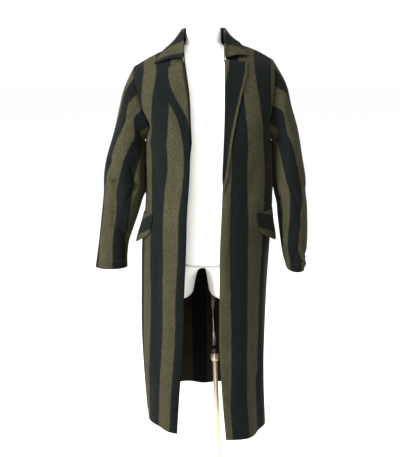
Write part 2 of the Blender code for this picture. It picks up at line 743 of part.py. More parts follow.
def tuck_under(rings, trees):
    """Move points of the form in until it is clear of the cloth by FORM_GAP."""
    count = len(rings[0])
    for again in range(14):
        for r in range(8, len(rings) - 1):
            for k in range(count):
                n = (k + 1) % count
                corners = (rings[r][k], rings[r][n], rings[r + 1][n], rings[r + 1][k])
                spots = list(corners)
                spots += [(a + b) / 2 for a, b in zip(corners, corners[1:] + corners[:1])]
                spots.append((corners[0] + corners[2]) / 2)
                for spot in spots:
                    for tree, drop in trees:
                        core = Vector((FORM_X, FORM_Y, spot.z - drop))
                        hit, normal, index, distance = tree.find_nearest(spot)
                        if distance > 0.012:
                            continue
                        if normal.dot(hit - core) < 0:
                            normal = -normal
                        over = (spot - hit).dot(normal) + FORM_GAP
                        if over > 0:
                            for corner in corners:
                                corner -= normal * (over * 0.5)


def build_form(trees):
    """The trunk's lowest ring is split down the middle and each half runs into a stub."""
    mesh = bmesh.new()
    table = [tuple(row) for row in FORM]
    rings = []
    for k in range(FORM_POINTS):
        rings.append(catmull([ring_points(FORM_X, FORM_Y, z, w, f, b, FORM_POINTS)[k]
                              for z, w, f, b in table], [1] * (len(table) - 1)))
    rings = [[rings[k][r] for k in range(FORM_POINTS)] for r in range(len(table))]
    tuck_under(rings, trees)
    verts = skin(mesh, rings, close_low=False)
    low = verts[0]
    half = FORM_POINTS // 2
    quarter = FORM_POINTS // 4
    front_mid = low[3 * quarter]
    back_mid = low[quarter]
    bridge = []
    for t in (0.28, 0.5, 0.72):
        place = back_mid.co.lerp(front_mid.co, t)
        place.z += -0.006 + 0.012 * abs(t - 0.5)
        bridge.append(mesh.verts.new(place))
    right_loop = [low[(3 * quarter + k) % FORM_POINTS] for k in range(half + 1)] + bridge
    left_loop = [low[quarter + k] for k in range(half + 1)] + bridge[::-1]
    for loop, side in ((right_loop, 1), (left_loop, -1)):
        count = len(loop)
        middle = Vector((STUB_MIDDLE + side * 0.082, FORM_Y, 0.0))
        start = [math.atan2(v.co.y - middle.y, v.co.x - middle.x) for v in loop]
        above = loop
        for z, half_width, half_depth, x, slope in STUB[::-1]:
            ring = []
            for turn in start:
                ring.append(mesh.verts.new(Vector((
                    STUB_MIDDLE + side * x + half_width * math.cos(turn),
                    FORM_Y + half_depth * math.sin(turn),
                    z - side * slope * half_width * math.cos(turn)))))
            for k in range(count):
                n = (k + 1) % count
                mesh.faces.new((above[k], above[n], ring[n], ring[k]))
            above = ring
        mesh.faces.new(above)
    return finish_mesh("form_torso", mesh)


build_form([
    (inner_tree(left_grid, left_normals), 0.12),
    (inner_tree(right_grid, right_normals), 0.12),
    (inner_tree(back_points, back_normals), 0.12),
    (faces_of(collar_grid), 0.0),
])


# Stand: all its parts follow one slightly leaning line from the base to the right stub
BASE_RADIUS = 0.190
BASE_HIGH = 0.012
POLE_FOOT = Vector((0.0640, 0.000, 0.0))
POLE_HEAD = Vector((0.0340, 0.000, 0.7675))
ROD_RADIUS = 0.0055
POLE_RADIUS = 0.0080


def on_pole(z):
    return POLE_FOOT.lerp(POLE_HEAD, z / POLE_HEAD.z)


def turned(name, rows, count=24):
    """A round body: rows of height and radius about the pole's line."""
    mesh = bmesh.new()
    rings = []
    for z, radius in rows:
        middle = on_pole(z)
        middle.z = z
        rings.append([middle + Vector((radius * math.cos(2 * math.pi * k / count),
                                       radius * math.sin(2 * math.pi * k / count), 0))
                      for k in range(count)])
    skin(mesh, rings)
    return finish_mesh(name, mesh)


def base_plate():
    mesh = bmesh.new()
    rows = [(0.0, 0.190), (0.003, BASE_RADIUS), (0.0085, 0.1885), (BASE_HIGH, 0.183)]
    rings = []
    for z, radius in rows:
        rings.append([Vector((radius * math.cos(2 * math.pi * k / 64),
                              radius * math.sin(2 * math.pi * k / 64), z)) for k in range(64)])
    skin(mesh, rings)
    return finish_mesh("stand_base", mesh)


base_plate()
turned("stand_pole", [
    (0.0122, 0.0190), (0.0160, 0.0190), (0.0200, 0.0150), (0.0240, 0.0100),
    (0.0300, POLE_RADIUS), (0.5395, POLE_RADIUS)])
turned("stand_knob", [
    (0.5398, 0.0085), (0.5420, 0.0112), (0.5465, 0.0132), (0.5525, 0.0138),
    (0.5585, 0.0130), (0.5630, 0.0108), (0.5655, 0.0080)], 24)
turned("stand_lock", [
    (0.5658, 0.0082), (0.5675, 0.0092), (0.5830, 0.0092), (0.5850, 0.0080)], 24)
turned("stand_rod", [(0.5853, ROD_RADIUS), (0.7674, ROD_RADIUS)], 20)

faces = 0
for body in bpy.data.objects:
    faces += len(body.data.polygons)
    print(body.name, len(body.data.polygons))
print("triangles in all", faces)
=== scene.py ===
# %% [markdown]
# A long wool coat in wide stripes, hanging open on a limbless dress form with a pole stand.
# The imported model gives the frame: every piece below is built in its space, in metres, with the
# front of the coat facing -Y. "Left" and "right" are the sides seen from the front.
# Cloth is made as thin shells worked out from the same named sizes as the solids, only finer.

# %% Load the frame
import bpy
import math
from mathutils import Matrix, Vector
from mathutils.bvhtree import BVHTree


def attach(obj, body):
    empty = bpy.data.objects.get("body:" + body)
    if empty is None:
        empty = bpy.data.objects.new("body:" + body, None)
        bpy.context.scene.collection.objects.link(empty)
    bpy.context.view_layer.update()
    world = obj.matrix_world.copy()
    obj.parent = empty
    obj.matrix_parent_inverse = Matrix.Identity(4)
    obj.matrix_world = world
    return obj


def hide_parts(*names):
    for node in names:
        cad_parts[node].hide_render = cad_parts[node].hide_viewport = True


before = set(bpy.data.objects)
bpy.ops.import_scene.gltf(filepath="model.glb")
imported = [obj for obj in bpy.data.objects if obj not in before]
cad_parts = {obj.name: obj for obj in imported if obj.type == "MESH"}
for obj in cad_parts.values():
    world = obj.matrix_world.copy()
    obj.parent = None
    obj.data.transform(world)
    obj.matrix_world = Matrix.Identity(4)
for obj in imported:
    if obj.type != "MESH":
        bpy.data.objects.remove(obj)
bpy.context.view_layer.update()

# %% [markdown]
# The camera stands a little above the collar and looks slightly down, as the photographer did.
# Its focal length is given in pixels of the picture's height and turned into millimetres here.

# %% Camera
PICTURE_HIGH = 457
FOCAL_PIXELS = 750.0
LOOK_DOWN = 12.7
SENSOR = 36.0


def link_object(name, data):
    piece = bpy.data.objects.new(name, data)
    bpy.context.scene.collection.objects.link(piece)
    return piece


camera_data = bpy.data.cameras.new("studio_camera")
camera_data.sensor_fit = "AUTO"
camera_data.sensor_width = SENSOR
camera_data.lens = SENSOR * FOCAL_PIXELS / PICTURE_HIGH
camera = link_object("studio_camera", camera_data)
camera.location = (-0.006, -2.3, 1.50)
camera.rotation_euler = (math.radians(90 - LOOK_DOWN), 0, 0)
bpy.context.scene.camera = camera
print("lens", round(camera_data.lens, 2), "mm")

# %% [markdown]
# Every finish is made with nodes, and most of them need the same few: noise, a colour ramp, a
# stretch of values, a bump. This small paint box adds each of them in one line.

# %% Paint box


def fill(tree, node, inputs):
    """Set inputs of a node. A value that is another node's socket is linked."""
    for key, value in inputs.items():
        if isinstance(value, bpy.types.NodeSocket):
            tree.links.new(value, node.inputs[key])
        else:
            node.inputs[key].default_value = value


def add_node(tree, kind, inputs, **settings):
    node = tree.nodes.new(kind)
    for key, value in settings.items():
        setattr(node, key, value)
    fill(tree, node, inputs)
    return node


class Paint:
    """A material with short ways to add nodes to it. Each gives back the new node's result."""

    def __init__(self, name):
        self.material = bpy.data.materials.new(name)
        self.material.use_nodes = True
        self.tree = self.material.node_tree

    def add(self, kind, inputs, output=0, **settings):
        return add_node(self.tree, kind, inputs, **settings).outputs[output]

    def space(self):
        return self.add("ShaderNodeTexCoord", {}, "Object")

    def stretched(self, source, scale):
        return self.add("ShaderNodeMapping", {"Vector": source, "Scale": scale})

    def noise(self, source, scale, detail=2.0, rough=0.5):
        inputs = {"Vector": source, "Scale": scale, "Detail": detail, "Roughness": rough}
        return self.add("ShaderNodeTexNoise", inputs, "Fac")

    def calc(self, kind, *values):
        return self.add("ShaderNodeMath", dict(enumerate(values)), operation=kind)

    def mix(self, factor, one, two, kind="MIX"):
        return self.add("ShaderNodeMix", {0: factor, 6: one, 7: two}, 2, data_type="RGBA", blend_type=kind)

    def spread(self, source, low, high, to_low=0.0, to_high=1.0, kind="LINEAR"):
        """Stretch the values between low and high to those between to_low and to_high."""
        inputs = {"Value": source, "From Min": low, "From Max": high, "To Min": to_low, "To Max": to_high}
        return self.add("ShaderNodeMapRange", inputs, interpolation_type=kind)

    def ramp(self, source, deep, light, low=0.0, high=1.0):
        node = add_node(self.tree, "ShaderNodeValToRGB", {"Fac": source})
        for element, place, colour in zip(node.color_ramp.elements, (low, high), (deep, light)):
            element.position = place
            element.color = colour
        return node.outputs["Color"]

    def bump(self, height, strength, distance):
        return self.add("ShaderNodeBump", {"Height": height, "Strength": strength, "Distance": distance})

    def finish(self, inputs):
        fill(self.tree, self.tree.nodes["Principled BSDF"], inputs)
        return self.material


print("paint box ready")

# %% [markdown]
# A product picture on white: the floor is one wide pale sheet and the sky is a plain white light.
# One large soft lamp from the left and one from above give the cloth its form, so the coat's
# right side falls into soft shade.

# %% Floor and light
WHITE_SKY = 1.06
FLOOR_REACH = 40.0
FLOOR_DROP = 0.0005
LAMP_AIM = Vector((0, 0, 1.0))
# Columns: name, place, width, power in watts
LAMPS = [
    ("key_lamp", (-3.0, -2.6, 2.6), 1.5, 430.0),
    ("top_lamp", (0.0, -1.0, 4.0), 1.6, 60.0),
]

floor_mesh = bpy.data.meshes.new("floor")
corners = [(x * FLOOR_REACH, y * FLOOR_REACH, -FLOOR_DROP) for x, y in ((-1, -1), (1, -1), (1, 1), (-1, 1))]
floor_mesh.from_pydata(corners, [], [(0, 1, 2, 3)])
floor_mesh.materials.append(Paint("pale_floor").finish(
    {"Base Color": (0.93, 0.93, 0.93, 1), "Roughness": 0.85, "Specular IOR Level": 0.1}))
floor = link_object("floor", floor_mesh)

sky = bpy.data.worlds.new("white_sky")
sky.use_nodes = True
fill(sky.node_tree, sky.node_tree.nodes["Background"], {"Color": (1, 1, 1, 1), "Strength": WHITE_SKY})
bpy.context.scene.world = sky
bpy.context.scene.view_settings.view_transform = "Standard"

for name, place, wide, power in LAMPS:
    lamp = bpy.data.lights.new(name, "AREA")
    lamp.shape = "DISK"
    lamp.size = wide
    lamp.energy = power
    holder = link_object(name, lamp)
    holder.location = place
    holder.rotation_euler = (LAMP_AIM - Vector(place)).to_track_quat("-Z", "Y").to_euler()
print("lamps", len(LAMPS))

# %% [markdown]
# The lines of a garment are smooth curves through a few measured points. These helpers draw them:
# a spline through points, a four-point curve, and the same line cut into equal steps.

# %% Curves
CLOTH = 0.0026
# Below zero: sewn edges pass each other a little, so that no light comes through a seam
SEAM = -0.0006
LAY_GAP = 0.0011
# Steps of the fine net for one step of the coarse one
FINE = 4


def catmull(points, sub):
    """Smooth line through the points, with sub[i] steps in interval i."""
    out = []
    last = len(points) - 1
    for i in range(last):
        p1 = Vector(points[i])
        p2 = Vector(points[i + 1])
        p0 = Vector(points[i - 1]) if i > 0 else p1 * 2 - p2
        p3 = Vector(points[i + 2]) if i + 2 <= last else p2 * 2 - p1
        t0 = 0.0
        t1 = t0 + max((p1 - p0).length, 1e-6) ** 0.5
        t2 = t1 + max((p2 - p1).length, 1e-6) ** 0.5
        t3 = t2 + max((p3 - p2).length, 1e-6) ** 0.5
        for k in range(sub[i]):
            t = t1 + (t2 - t1) * k / sub[i]
            a1 = p0 * ((t1 - t) / (t1 - t0)) + p1 * ((t - t0) / (t1 - t0))
            a2 = p1 * ((t2 - t) / (t2 - t1)) + p2 * ((t - t1) / (t2 - t1))
            a3 = p2 * ((t3 - t) / (t3 - t2)) + p3 * ((t - t2) / (t3 - t2))
            b1 = a1 * ((t2 - t) / (t2 - t0)) + a2 * ((t - t0) / (t2 - t0))
            b2 = a2 * ((t3 - t) / (t3 - t1)) + a3 * ((t - t1) / (t3 - t1))
            out.append(b1 * ((t2 - t) / (t2 - t1)) + b2 * ((t - t1) / (t2 - t1)))
    out.append(Vector(points[-1]))
    return out


def bezier(a, b, c, d, t):
    s = 1 - t
    return a * (s * s * s) + b * (3 * s * s * t) + c * (3 * s * t * t) + d * (t * t * t)


def run_of(line):
    """How far along the line each of its points is."""
    run = [0.0]
    for a, b in zip(line, line[1:]):
        run.append(run[-1] + (b - a).length)
    return run


def even(line, count):
    """The same line with count equal steps along its length."""
    run = run_of(line)
    out = []
    k = 0
    for i in range(count + 1):
        want = run[-1] * i / count
        while k < len(run) - 2 and run[k + 1] < want:
            k += 1
        span = max(run[k + 1] - run[k], 1e-9)
        out.append(line[k].lerp(line[k + 1], min(1.0, (want - run[k]) / span)))
    return out

# %% [markdown]
# The two fronts and the back are cut as long panels. Each row of a table is a level of the panel,
# from the hem up: where the opening edge is, where the side seam is, and how full it is between.
# These are the sizes of the solids, so the shells made from them lie where the solids are.

# %% Sizes of the fronts
HEM_FRONT_LEFT = 0.354
HEM_FRONT_RIGHT = 0.342
HEM_BACK = 0.372
UNDERARM = 1.262
UNDERARM_ROW = 7
FRONT_STEPS = 12
BACK_STEPS = 24
SHOULDER_STEPS = 7
ROWS_BETWEEN = [3, 3, 3, 3, 2, 2, 2, 2, 2, 2, 2, 3]
# Columns: edge_x, edge_y, edge_z, side_x, side_y, side_z, bow, full
FRONT_LEFT = [
    (-0.0780, -0.145, HEM_FRONT_LEFT, -0.1840, 0.045, HEM_FRONT_LEFT + 0.006, 0.004, 0.105),
    (-0.0710, -0.149, 0.470, -0.1910, 0.042, 0.472, 0.004, 0.110),
    (-0.0590, -0.151, 0.640, -0.1970, 0.038, 0.640, 0.004, 0.112),
    (-0.0540, -0.151, 0.800, -0.1945, 0.034, 0.800, 0.004, 0.112),
    (-0.0475, -0.151, 0.950, -0.1895, 0.028, 0.950, 0.004, 0.110),
    (-0.0440, -0.149, 1.060, -0.1770, 0.022, 1.060, 0.004, 0.106),
    (-0.0370, -0.146, 1.160, -0.1730, 0.015, 1.160, 0.004, 0.104),
    (-0.0350, -0.141, 1.262, -0.1720, 0.010, UNDERARM, 0.005, 0.100),
    (-0.0375, -0.135, 1.325, -0.1550, -0.052, 1.306, 0.006, 0.058),
    (-0.0405, -0.126, 1.392, -0.1730, -0.060, 1.350, 0.008, 0.040),
    (-0.0480, -0.112, 1.452, -0.1900, -0.053, 1.400, 0.008, 0.030),
    (-0.0570, -0.072, 1.510, -0.2020, -0.033, 1.450, 0.006, 0.018),
]
FRONT_RIGHT = [
    (0.0754, -0.163, HEM_FRONT_RIGHT, 0.2080, 0.040, HEM_FRONT_RIGHT - 0.006, 0.002, 0.178),
    (0.0640, -0.156, 0.470, 0.2045, 0.038, 0.472, 0.003, 0.150),
    (0.0540, -0.152, 0.640, 0.2055, 0.035, 0.640, 0.004, 0.125),
    (0.0530, -0.151, 0.800, 0.2090, 0.032, 0.800, 0.004, 0.120),
    (0.0535, -0.151, 0.950, 0.2160, 0.027, 0.950, 0.004, 0.116),
    (0.0580, -0.149, 1.060, 0.2205, 0.022, 1.060, 0.004, 0.112),
    (0.0615, -0.146, 1.160, 0.2172, 0.015, 1.160, 0.004, 0.108),
    (0.0655, -0.141, 1.262, 0.2122, 0.010, UNDERARM, 0.005, 0.104),
    (0.0675, -0.135, 1.325, 0.1990, -0.052, 1.306, 0.006, 0.058),
    (0.0680, -0.126, 1.392, 0.2060, -0.060, 1.350, 0.008, 0.040),
    (0.0680, -0.112, 1.452, 0.2120, -0.053, 1.403, 0.008, 0.030),
    (0.0690, -0.072, 1.512, 0.2155, -0.033, 1.457, 0.006, 0.018),
]
SEAM_LEFT = [(-0.066, 0.006, 1.549), (-0.110, 0.006, 1.530), (-0.156, 0.004, 1.508), (-0.204, 0.0, 1.480)]
SEAM_RIGHT = [(0.074, 0.006, 1.557), (0.112, 0.006, 1.546), (0.166, 0.004, 1.526), (0.2130, 0.0, 1.500)]
# Columns: place, width, depth, fade_z
FOLDS_FRONT_LEFT = [(0.30, 0.10, -0.004, 0.80), (0.55, 0.13, 0.007, 0.90), (0.80, 0.10, -0.006, 0.75)]
FOLDS_FRONT_RIGHT = [(0.26, 0.12, 0.004, 0.75), (0.50, 0.10, -0.005, 0.70), (0.72, 0.11, 0.006, 0.85)]
print("front rows", len(FRONT_LEFT), len(FRONT_RIGHT))

# %% Sizes of the back
# Columns: centre_x, centre_y, centre_z, arm_y, full
BACK = [
    (0.008, 0.214, HEM_BACK, 0.045, 0.120),
    (0.007, 0.203, 0.475, 0.042, 0.115),
    (0.006, 0.184, 0.640, 0.037, 0.105),
    (0.005, 0.163, 0.800, 0.033, 0.095),
    (0.005, 0.144, 0.950, 0.028, 0.086),
    (0.005, 0.132, 1.060, 0.022, 0.080),
    (0.005, 0.128, 1.160, 0.015, 0.080),
    (0.005, 0.130, 1.262, 0.010, 0.080),
    (0.005, 0.130, 1.335, 0.062, 0.050),
    (0.005, 0.126, 1.405, 0.076, 0.036),
    (0.005, 0.115, 1.465, 0.072, 0.026),
    (0.005, 0.094, 1.520, 0.044, 0.016),
]
BACK_ARM_LEFT = [(-0.166, 1.306), (-0.172, 1.350), (-0.187, 1.402), (-0.200, 1.450)]
BACK_ARM_RIGHT = [(0.204, 1.306), (0.206, 1.350), (0.212, 1.405), (0.2155, 1.458)]
NECK_BACK = [(0.052, 0.046), (0.030, 0.064)]
FOLDS_BACK = [
    (0.14, 0.06, 0.007, 0.80),
    (0.26, 0.05, -0.007, 0.70),
    (0.38, 0.07, 0.016, 0.95),
    (0.50, 0.06, -0.016, 1.00),
    (0.62, 0.07, 0.018, 0.95),
    (0.75, 0.05, -0.007, 0.70),
    (0.87, 0.06, 0.007, 0.80),
]
print("back rows", len(BACK))

# %% [markdown]
# A panel is a net of points: lines across at each level, joined by smooth lines up the cloth.
# The side lines turn sharply under the arm, where the side seam meets the armhole.

# %% Nets of the panels
CURVE_STEPS = 60
FOLD_FOOT = 0.34


def add_folds(line, folds, level, sharp, aim_at):
    """Push the middle of a line out and in by the folds that reach down to its level."""
    steps = len(line) - 1
    for k, point in enumerate(line):
        place = k / steps
        push = 0.0
        for at, width, depth, fade in folds:
            if level < fade:
                fall = (fade - level) / (fade - FOLD_FOOT)
                push += depth * fall ** 1.3 * math.exp(-((place - at) / width) ** 2)
        ends = min(1.0, sharp * place, sharp * (1 - place))
        line[k] = point + aim_at(point).normalized() * (push * ends)


def arc(a, b, c, d, steps):
    return even([bezier(a, b, c, d, k / CURVE_STEPS) for k in range(CURVE_STEPS + 1)], steps)


def upright(rows, corners):
    """Smooth lines up through the rows. The lines in corners turn sharply under the arm."""
    steps = [count * FINE for count in ROWS_BETWEEN]
    columns = []
    for k in range(len(rows[0])):
        points = [line[k] for line in rows]
        if k in corners:
            low = catmull(points[:UNDERARM_ROW + 1], steps[:UNDERARM_ROW])
            columns.append(low[:-1] + catmull(points[UNDERARM_ROW:], steps[UNDERARM_ROW:]))
        else:
            columns.append(catmull(points, steps))
    return [list(line) for line in zip(*columns)]


def seam_line(seam, steps):
    return even(catmull(seam, [8] * (len(seam) - 1)), steps)


def front_net(table, seam, folds):
    steps = FRONT_STEPS * FINE
    rows = []
    for row in table:
        edge = Vector(row[0:3])
        side = Vector(row[3:6])
        near = edge.lerp(side, 0.42)
        near.y = edge.y - row[6]
        far = Vector((side.x, side.y - row[7], edge.z * 0.25 + side.z * 0.75))
        line = arc(edge, near, far, side, steps)
        level = (edge.z + side.z) / 2
        add_folds(line, folds, level, 4, lambda p: Vector((p.x - 0.008, p.y * 0.9 - 0.02, 0)))
        rows.append(line)
    rows.append(seam_line(seam, steps))
    return upright(rows, [steps])


def back_half(side, centre, full):
    near = Vector((side.x, side.y + full, side.z))
    far = Vector((centre.x + (side.x - centre.x) * 0.50, centre.y, centre.z))
    return arc(side, near, far, centre, BACK_STEPS * FINE // 2)


def back_net():
    steps = BACK_STEPS * FINE
    rows = []
    for i, (x, y, z, arm_y, full) in enumerate(BACK):
        halves = []
        for front, arm in ((FRONT_LEFT, BACK_ARM_LEFT), (FRONT_RIGHT, BACK_ARM_RIGHT)):
            side = Vector(front[i][3:6])
            if i > UNDERARM_ROW:
                arm_x, arm_z = arm[i - UNDERARM_ROW - 1]
                side = Vector((arm_x, arm_y, arm_z))
            halves.append(back_half(side, Vector((x, y, z)), full))
        line = halves[0] + halves[1][-2::-1]
        add_folds(line, FOLDS_BACK, z, 8, lambda p: Vector((p.x - 0.006, p.y * 0.8, 0)))
        rows.append(line)
    left_seam = seam_line(SEAM_LEFT, SHOULDER_STEPS * FINE)[::-1]
    right_seam = seam_line(SEAM_RIGHT, SHOULDER_STEPS * FINE)
    neck = [Vector(SEAM_LEFT[0])]
    neck += [Vector((0.004 - x, y, 1.553)) for x, y in NECK_BACK]
    neck.append(Vector((0.004, 0.070, 1.553)))
    neck += [Vector((0.006 + x, y, 1.555)) for x, y in NECK_BACK[::-1]]
    neck.append(Vector(SEAM_RIGHT[0]))
    neck = even(catmull(neck, [16] * (len(neck) - 1)), (BACK_STEPS - 2 * SHOULDER_STEPS) * FINE)
    rows.append(left_seam[:-1] + neck + right_seam[1:])
    return upright(rows, [0, steps])


left_net = front_net(FRONT_LEFT, SEAM_LEFT, FOLDS_FRONT_LEFT)
right_net = front_net(FRONT_RIGHT, SEAM_RIGHT, FOLDS_FRONT_RIGHT)
back_points = back_net()
UNDER_ROW = sum(ROWS_BETWEEN[:UNDERARM_ROW]) * FINE
print("net sizes", len(left_net), len(left_net[0]), len(back_points), len(back_points[0]))

# %% [markdown]
# Each point of a net has a normal, which says where "out of the cloth" is. It comes from the
# points around it. Faces listed the wrong way round would be dark, so every new mesh is turned
# until its volume is above zero.

# %% Normals and mesh objects
AXIS = Vector((0.005, 0.0, 0.0))


def grid(rows, cols, make):
    return [[make(r, c) for c in range(cols)] for r in range(rows)]


def normals_of(net):
    rows = len(net)
    cols = len(net[0])

    def normal(r, c):
        across = net[r][min(c + 1, cols - 1)] - net[r][max(c - 1, 0)]
        along = net[min(r + 1, rows - 1)][c] - net[max(r - 1, 0)][c]
        return across.cross(along).normalized()

    return grid(rows, cols, normal)


def flip(normals):
    for line in normals:
        for normal in line:
            normal.negate()


def turn_out(net, normals):
    """Turn all the normals if they point towards the axis of the body."""
    r = len(net) // 2
    c = len(net[0]) // 2
    away = net[r][c] - AXIS
    away.z = 0
    if normals[r][c].dot(away) < 0:
        flip(normals)


def outward_normals(net):
    normals = normals_of(net)
    turn_out(net, normals)
    return normals


def add_object(name, verts, faces, maps, material):
    """A mesh object with smooth faces. maps: a name and, for each face, its corners' places."""
    volume = 0.0
    for face in faces:
        for a, b in zip(face[1:], face[2:]):
            volume += verts[face[0]].dot(verts[a].cross(verts[b]))
    if volume < 0:
        faces = [face[::-1] for face in faces]
        maps = [(title, [corners[::-1] for corners in places]) for title, places in maps]
    mesh = bpy.data.meshes.new(name)
    mesh.from_pydata([tuple(v) for v in verts], [], faces)
    for title, places in maps:
        layer = mesh.uv_layers.new(name=title)
        layer.data.foreach_set("uv", [number for corners in places for place in corners for number in place])
    mesh.polygons.foreach_set("use_smooth", [True] * len(faces))
    mesh.materials.append(material)
    mesh.update()
    print(name, "faces", len(faces))
    return link_object(name, mesh)


print("axis of the body", tuple(round(v, 3) for v in AXIS))

# %% [markdown]
# Cloth has two faces and an edge. From an outer net this makes the whole shell: the outer face,
# the inner face a wall's thickness behind it, and a rounded edge round the rim, as thick wool
# has where it is turned in. It also lays out two maps: one of the cut, in metres, for the weave,
# and one whose first value counts stripes, so that the material can colour them. The second value
# of that map is 1 on the inner face, where the material darkens the cloth with painted shade.

# %% Shell of cloth
# How deep in the wall and how far out each point of a rounded edge lies
EDGE_ROUND = ((0.16, 0.62), (0.5, 1.0), (0.84, 0.62))


def cloth_shell(name, net, normals, thick, cut, stripe, rims, wrap=False):
    """thick, cut and stripe are nets like net, with one more column where the cloth is a tube.
    rims: how far the edge rounds out past the low, end, high and start edges."""
    rows = len(net)
    cols = len(net[0])
    verts = []
    faces = []
    cut_map = []
    stripe_map = []

    def put(point):
        verts.append(point)
        return len(verts) - 1

    outer = grid(rows, cols, lambda r, c: put(net[r][c]))
    inner = grid(rows, cols, lambda r, c: put(net[r][c] - normals[r][c] * thick[r][c]))

    def face(corners, spots, inside=0.0):
        faces.append(corners)
        cut_map.append([cut[r][c] for r, c in spots])
        stripe_map.append([(stripe[r][c], inside) for r, c in spots])

    for r in range(rows - 1):
        for c in range(cols if wrap else cols - 1):
            n = (c + 1) % cols
            spots = [(r, c), (r, c + 1), (r + 1, c + 1), (r + 1, c)]
            face([outer[r][c], outer[r][n], outer[r + 1][n], outer[r + 1][c]], spots)
            spots = [(r, c), (r + 1, c), (r + 1, c + 1), (r, c + 1)]
            face([inner[r][c], inner[r + 1][c], inner[r + 1][n], inner[r][n]], spots, 1.0)
    if wrap:
        loops = [[(0, c) for c in range(cols + 1)], [(rows - 1, c) for c in range(cols, -1, -1)]]
    else:
        ring = [(0, c) for c in range(cols)] + [(r, cols - 1) for r in range(1, rows)]
        ring += [(rows - 1, c) for c in range(cols - 2, -1, -1)] + [(r, 0) for r in range(rows - 2, -1, -1)]
        loops = [ring]

    def edge_steps(r, c):
        """Points from the outer face to the inner one round the edge."""
        push = Vector((0, 0, 0))
        if r == 0:
            push += (net[0][c] - net[1][c]).normalized() * rims[0]
        if r == rows - 1:
            push += (net[r][c] - net[r - 1][c]).normalized() * rims[2]
        if not wrap and c == cols - 1:
            push += (net[r][c] - net[r][c - 1]).normalized() * rims[1]
        if not wrap and c == 0:
            push += (net[r][0] - net[r][1]).normalized() * rims[3]
        down = normals[r][c] * thick[r][c]
        points = [put(net[r][c] - down * deep + push * wide) for deep, wide in EDGE_ROUND]
        return [outer[r][c]] + points + [inner[r][c]]

    for ring in loops:
        made = {}
        for r, c in ring:
            if (r, c % cols) not in made:
                made[(r, c % cols)] = edge_steps(r, c % cols)
        for (r, c), (s, d) in zip(ring, ring[1:]):
            one = made[(r, c % cols)]
            two = made[(s, d % cols)]
            for i in range(len(one) - 1):
                face([one[i], one[i + 1], two[i + 1], two[i]], [(r, c), (r, c), (s, d), (s, d)])
    return add_object(name, verts, faces, [("cut", cut_map), ("stripe_run", stripe_map)], wool)

# %% [markdown]
# The cloth is a heavy felted wool in two colours, a brown-olive and a blue-black, in stripes
# about five centimetres wide. The wool's nap blurs the line where two stripes meet, so the
# stripe count is shaken a little by noise before it picks a colour. Fine streaks follow the
# warp, fibres speckle both colours, and a soft sheen lights the cloth where it turns away.

# %% Wool material
BROWN_DEEP = (0.0052, 0.0047, 0.0024, 1)
BROWN_LIGHT = (0.0470, 0.0436, 0.0240, 1)
BLUE_BLACK_DEEP = (0.0005, 0.0008, 0.0007, 1)
BLUE_BLACK_LIGHT = (0.0056, 0.0079, 0.0072, 1)
BLACK = (0.0, 0.0, 0.0, 1)
# How far the inner face of the cloth is mixed towards black, as painted shade
INSIDE_PAINTED_SHADE = 0.62
WARP_GRAIN = (620.0, 70.0, 1.0)


def striped_wool():
    paint = Paint("striped_wool")
    space = paint.space()
    stripe_run = paint.add("ShaderNodeUVMap", {}, uv_map="stripe_run")
    split = add_node(paint.tree, "ShaderNodeSeparateXYZ", {0: stripe_run}).outputs
    cut = paint.add("ShaderNodeUVMap", {}, uv_map="cut")

    # The stripe count is shaken by a slow wander and a fine fuzz, then picks a colour
    count = paint.calc("MULTIPLY_ADD", paint.noise(space, 22.0, 3.0), 0.07, split["X"])
    count = paint.calc("MULTIPLY_ADD", paint.noise(space, 620.0, 2.0, 0.6), 0.11, count)
    wave = paint.calc("SINE", paint.calc("MULTIPLY", paint.calc("SUBTRACT", count, 0.09), math.pi))
    is_brown = paint.spread(wave, -0.11, 0.11, kind="SMOOTHSTEP")

    # Fibres, streaks along the warp and tufts of nap shade both colours
    fibre = paint.noise(space, 480.0, 5.0, 0.72)
    streak = paint.noise(paint.stretched(cut, WARP_GRAIN), 1.0, 3.0, 0.6)
    tuft = paint.spread(paint.noise(space, 190.0, 3.0, 0.65), 0.36, 0.66)
    shade = paint.calc("MULTIPLY", paint.spread(fibre, 0.32, 0.68), 0.36)
    shade = paint.calc("MULTIPLY_ADD", streak, 0.34, shade)
    shade = paint.calc("MULTIPLY_ADD", tuft, 0.40, shade)
    brown = paint.mix(shade, BROWN_DEEP, BROWN_LIGHT)
    dark = paint.mix(shade, BLUE_BLACK_DEEP, BLUE_BLACK_LIGHT)
    colour = paint.mix(is_brown, dark, brown)

    # Broad worn patches, and painted shade on the inner face of the cloth, mixed towards black
    worn = paint.spread(paint.noise(space, 9.0, 4.0, 0.6), 0.3, 0.7, 0.84, 1.12)
    grey = paint.add("ShaderNodeCombineXYZ", {0: worn, 1: worn, 2: worn})
    colour = paint.mix(1.0, colour, grey, "MULTIPLY")
    inside_painted_shade = paint.calc("MULTIPLY", split["Y"], INSIDE_PAINTED_SHADE)
    colour = paint.mix(inside_painted_shade, colour, BLACK)

    height = paint.calc("MULTIPLY_ADD", streak, 0.45, paint.noise(space, 1150.0, 3.0, 0.7))
    height = paint.calc("MULTIPLY_ADD", paint.noise(space, 160.0), 0.8, height)
    return paint.finish({
        "Base Color": colour, "Normal": paint.bump(height, 0.55, 0.0011),
        "Roughness": paint.calc("MULTIPLY_ADD", fibre, 0.14, 0.84), "Specular IOR Level": 0.05,
        "Sheen Weight": 0.03, "Sheen Roughness": 0.42, "Sheen Tint": (0.86, 0.84, 0.70, 1)})


wool = striped_wool()
print("material", wool.name)

# %% [markdown]
# The stripes run with the warp, so on a front they run up from the hem. In a table each row is a
# level, and its values are how far from the opening edge the stripe lines lie at that level.
# Between two lines the count goes up by one, which is what the material turns into colour.

# %% Stripe lines on the panels
STRIPE_WIDE = 0.0505
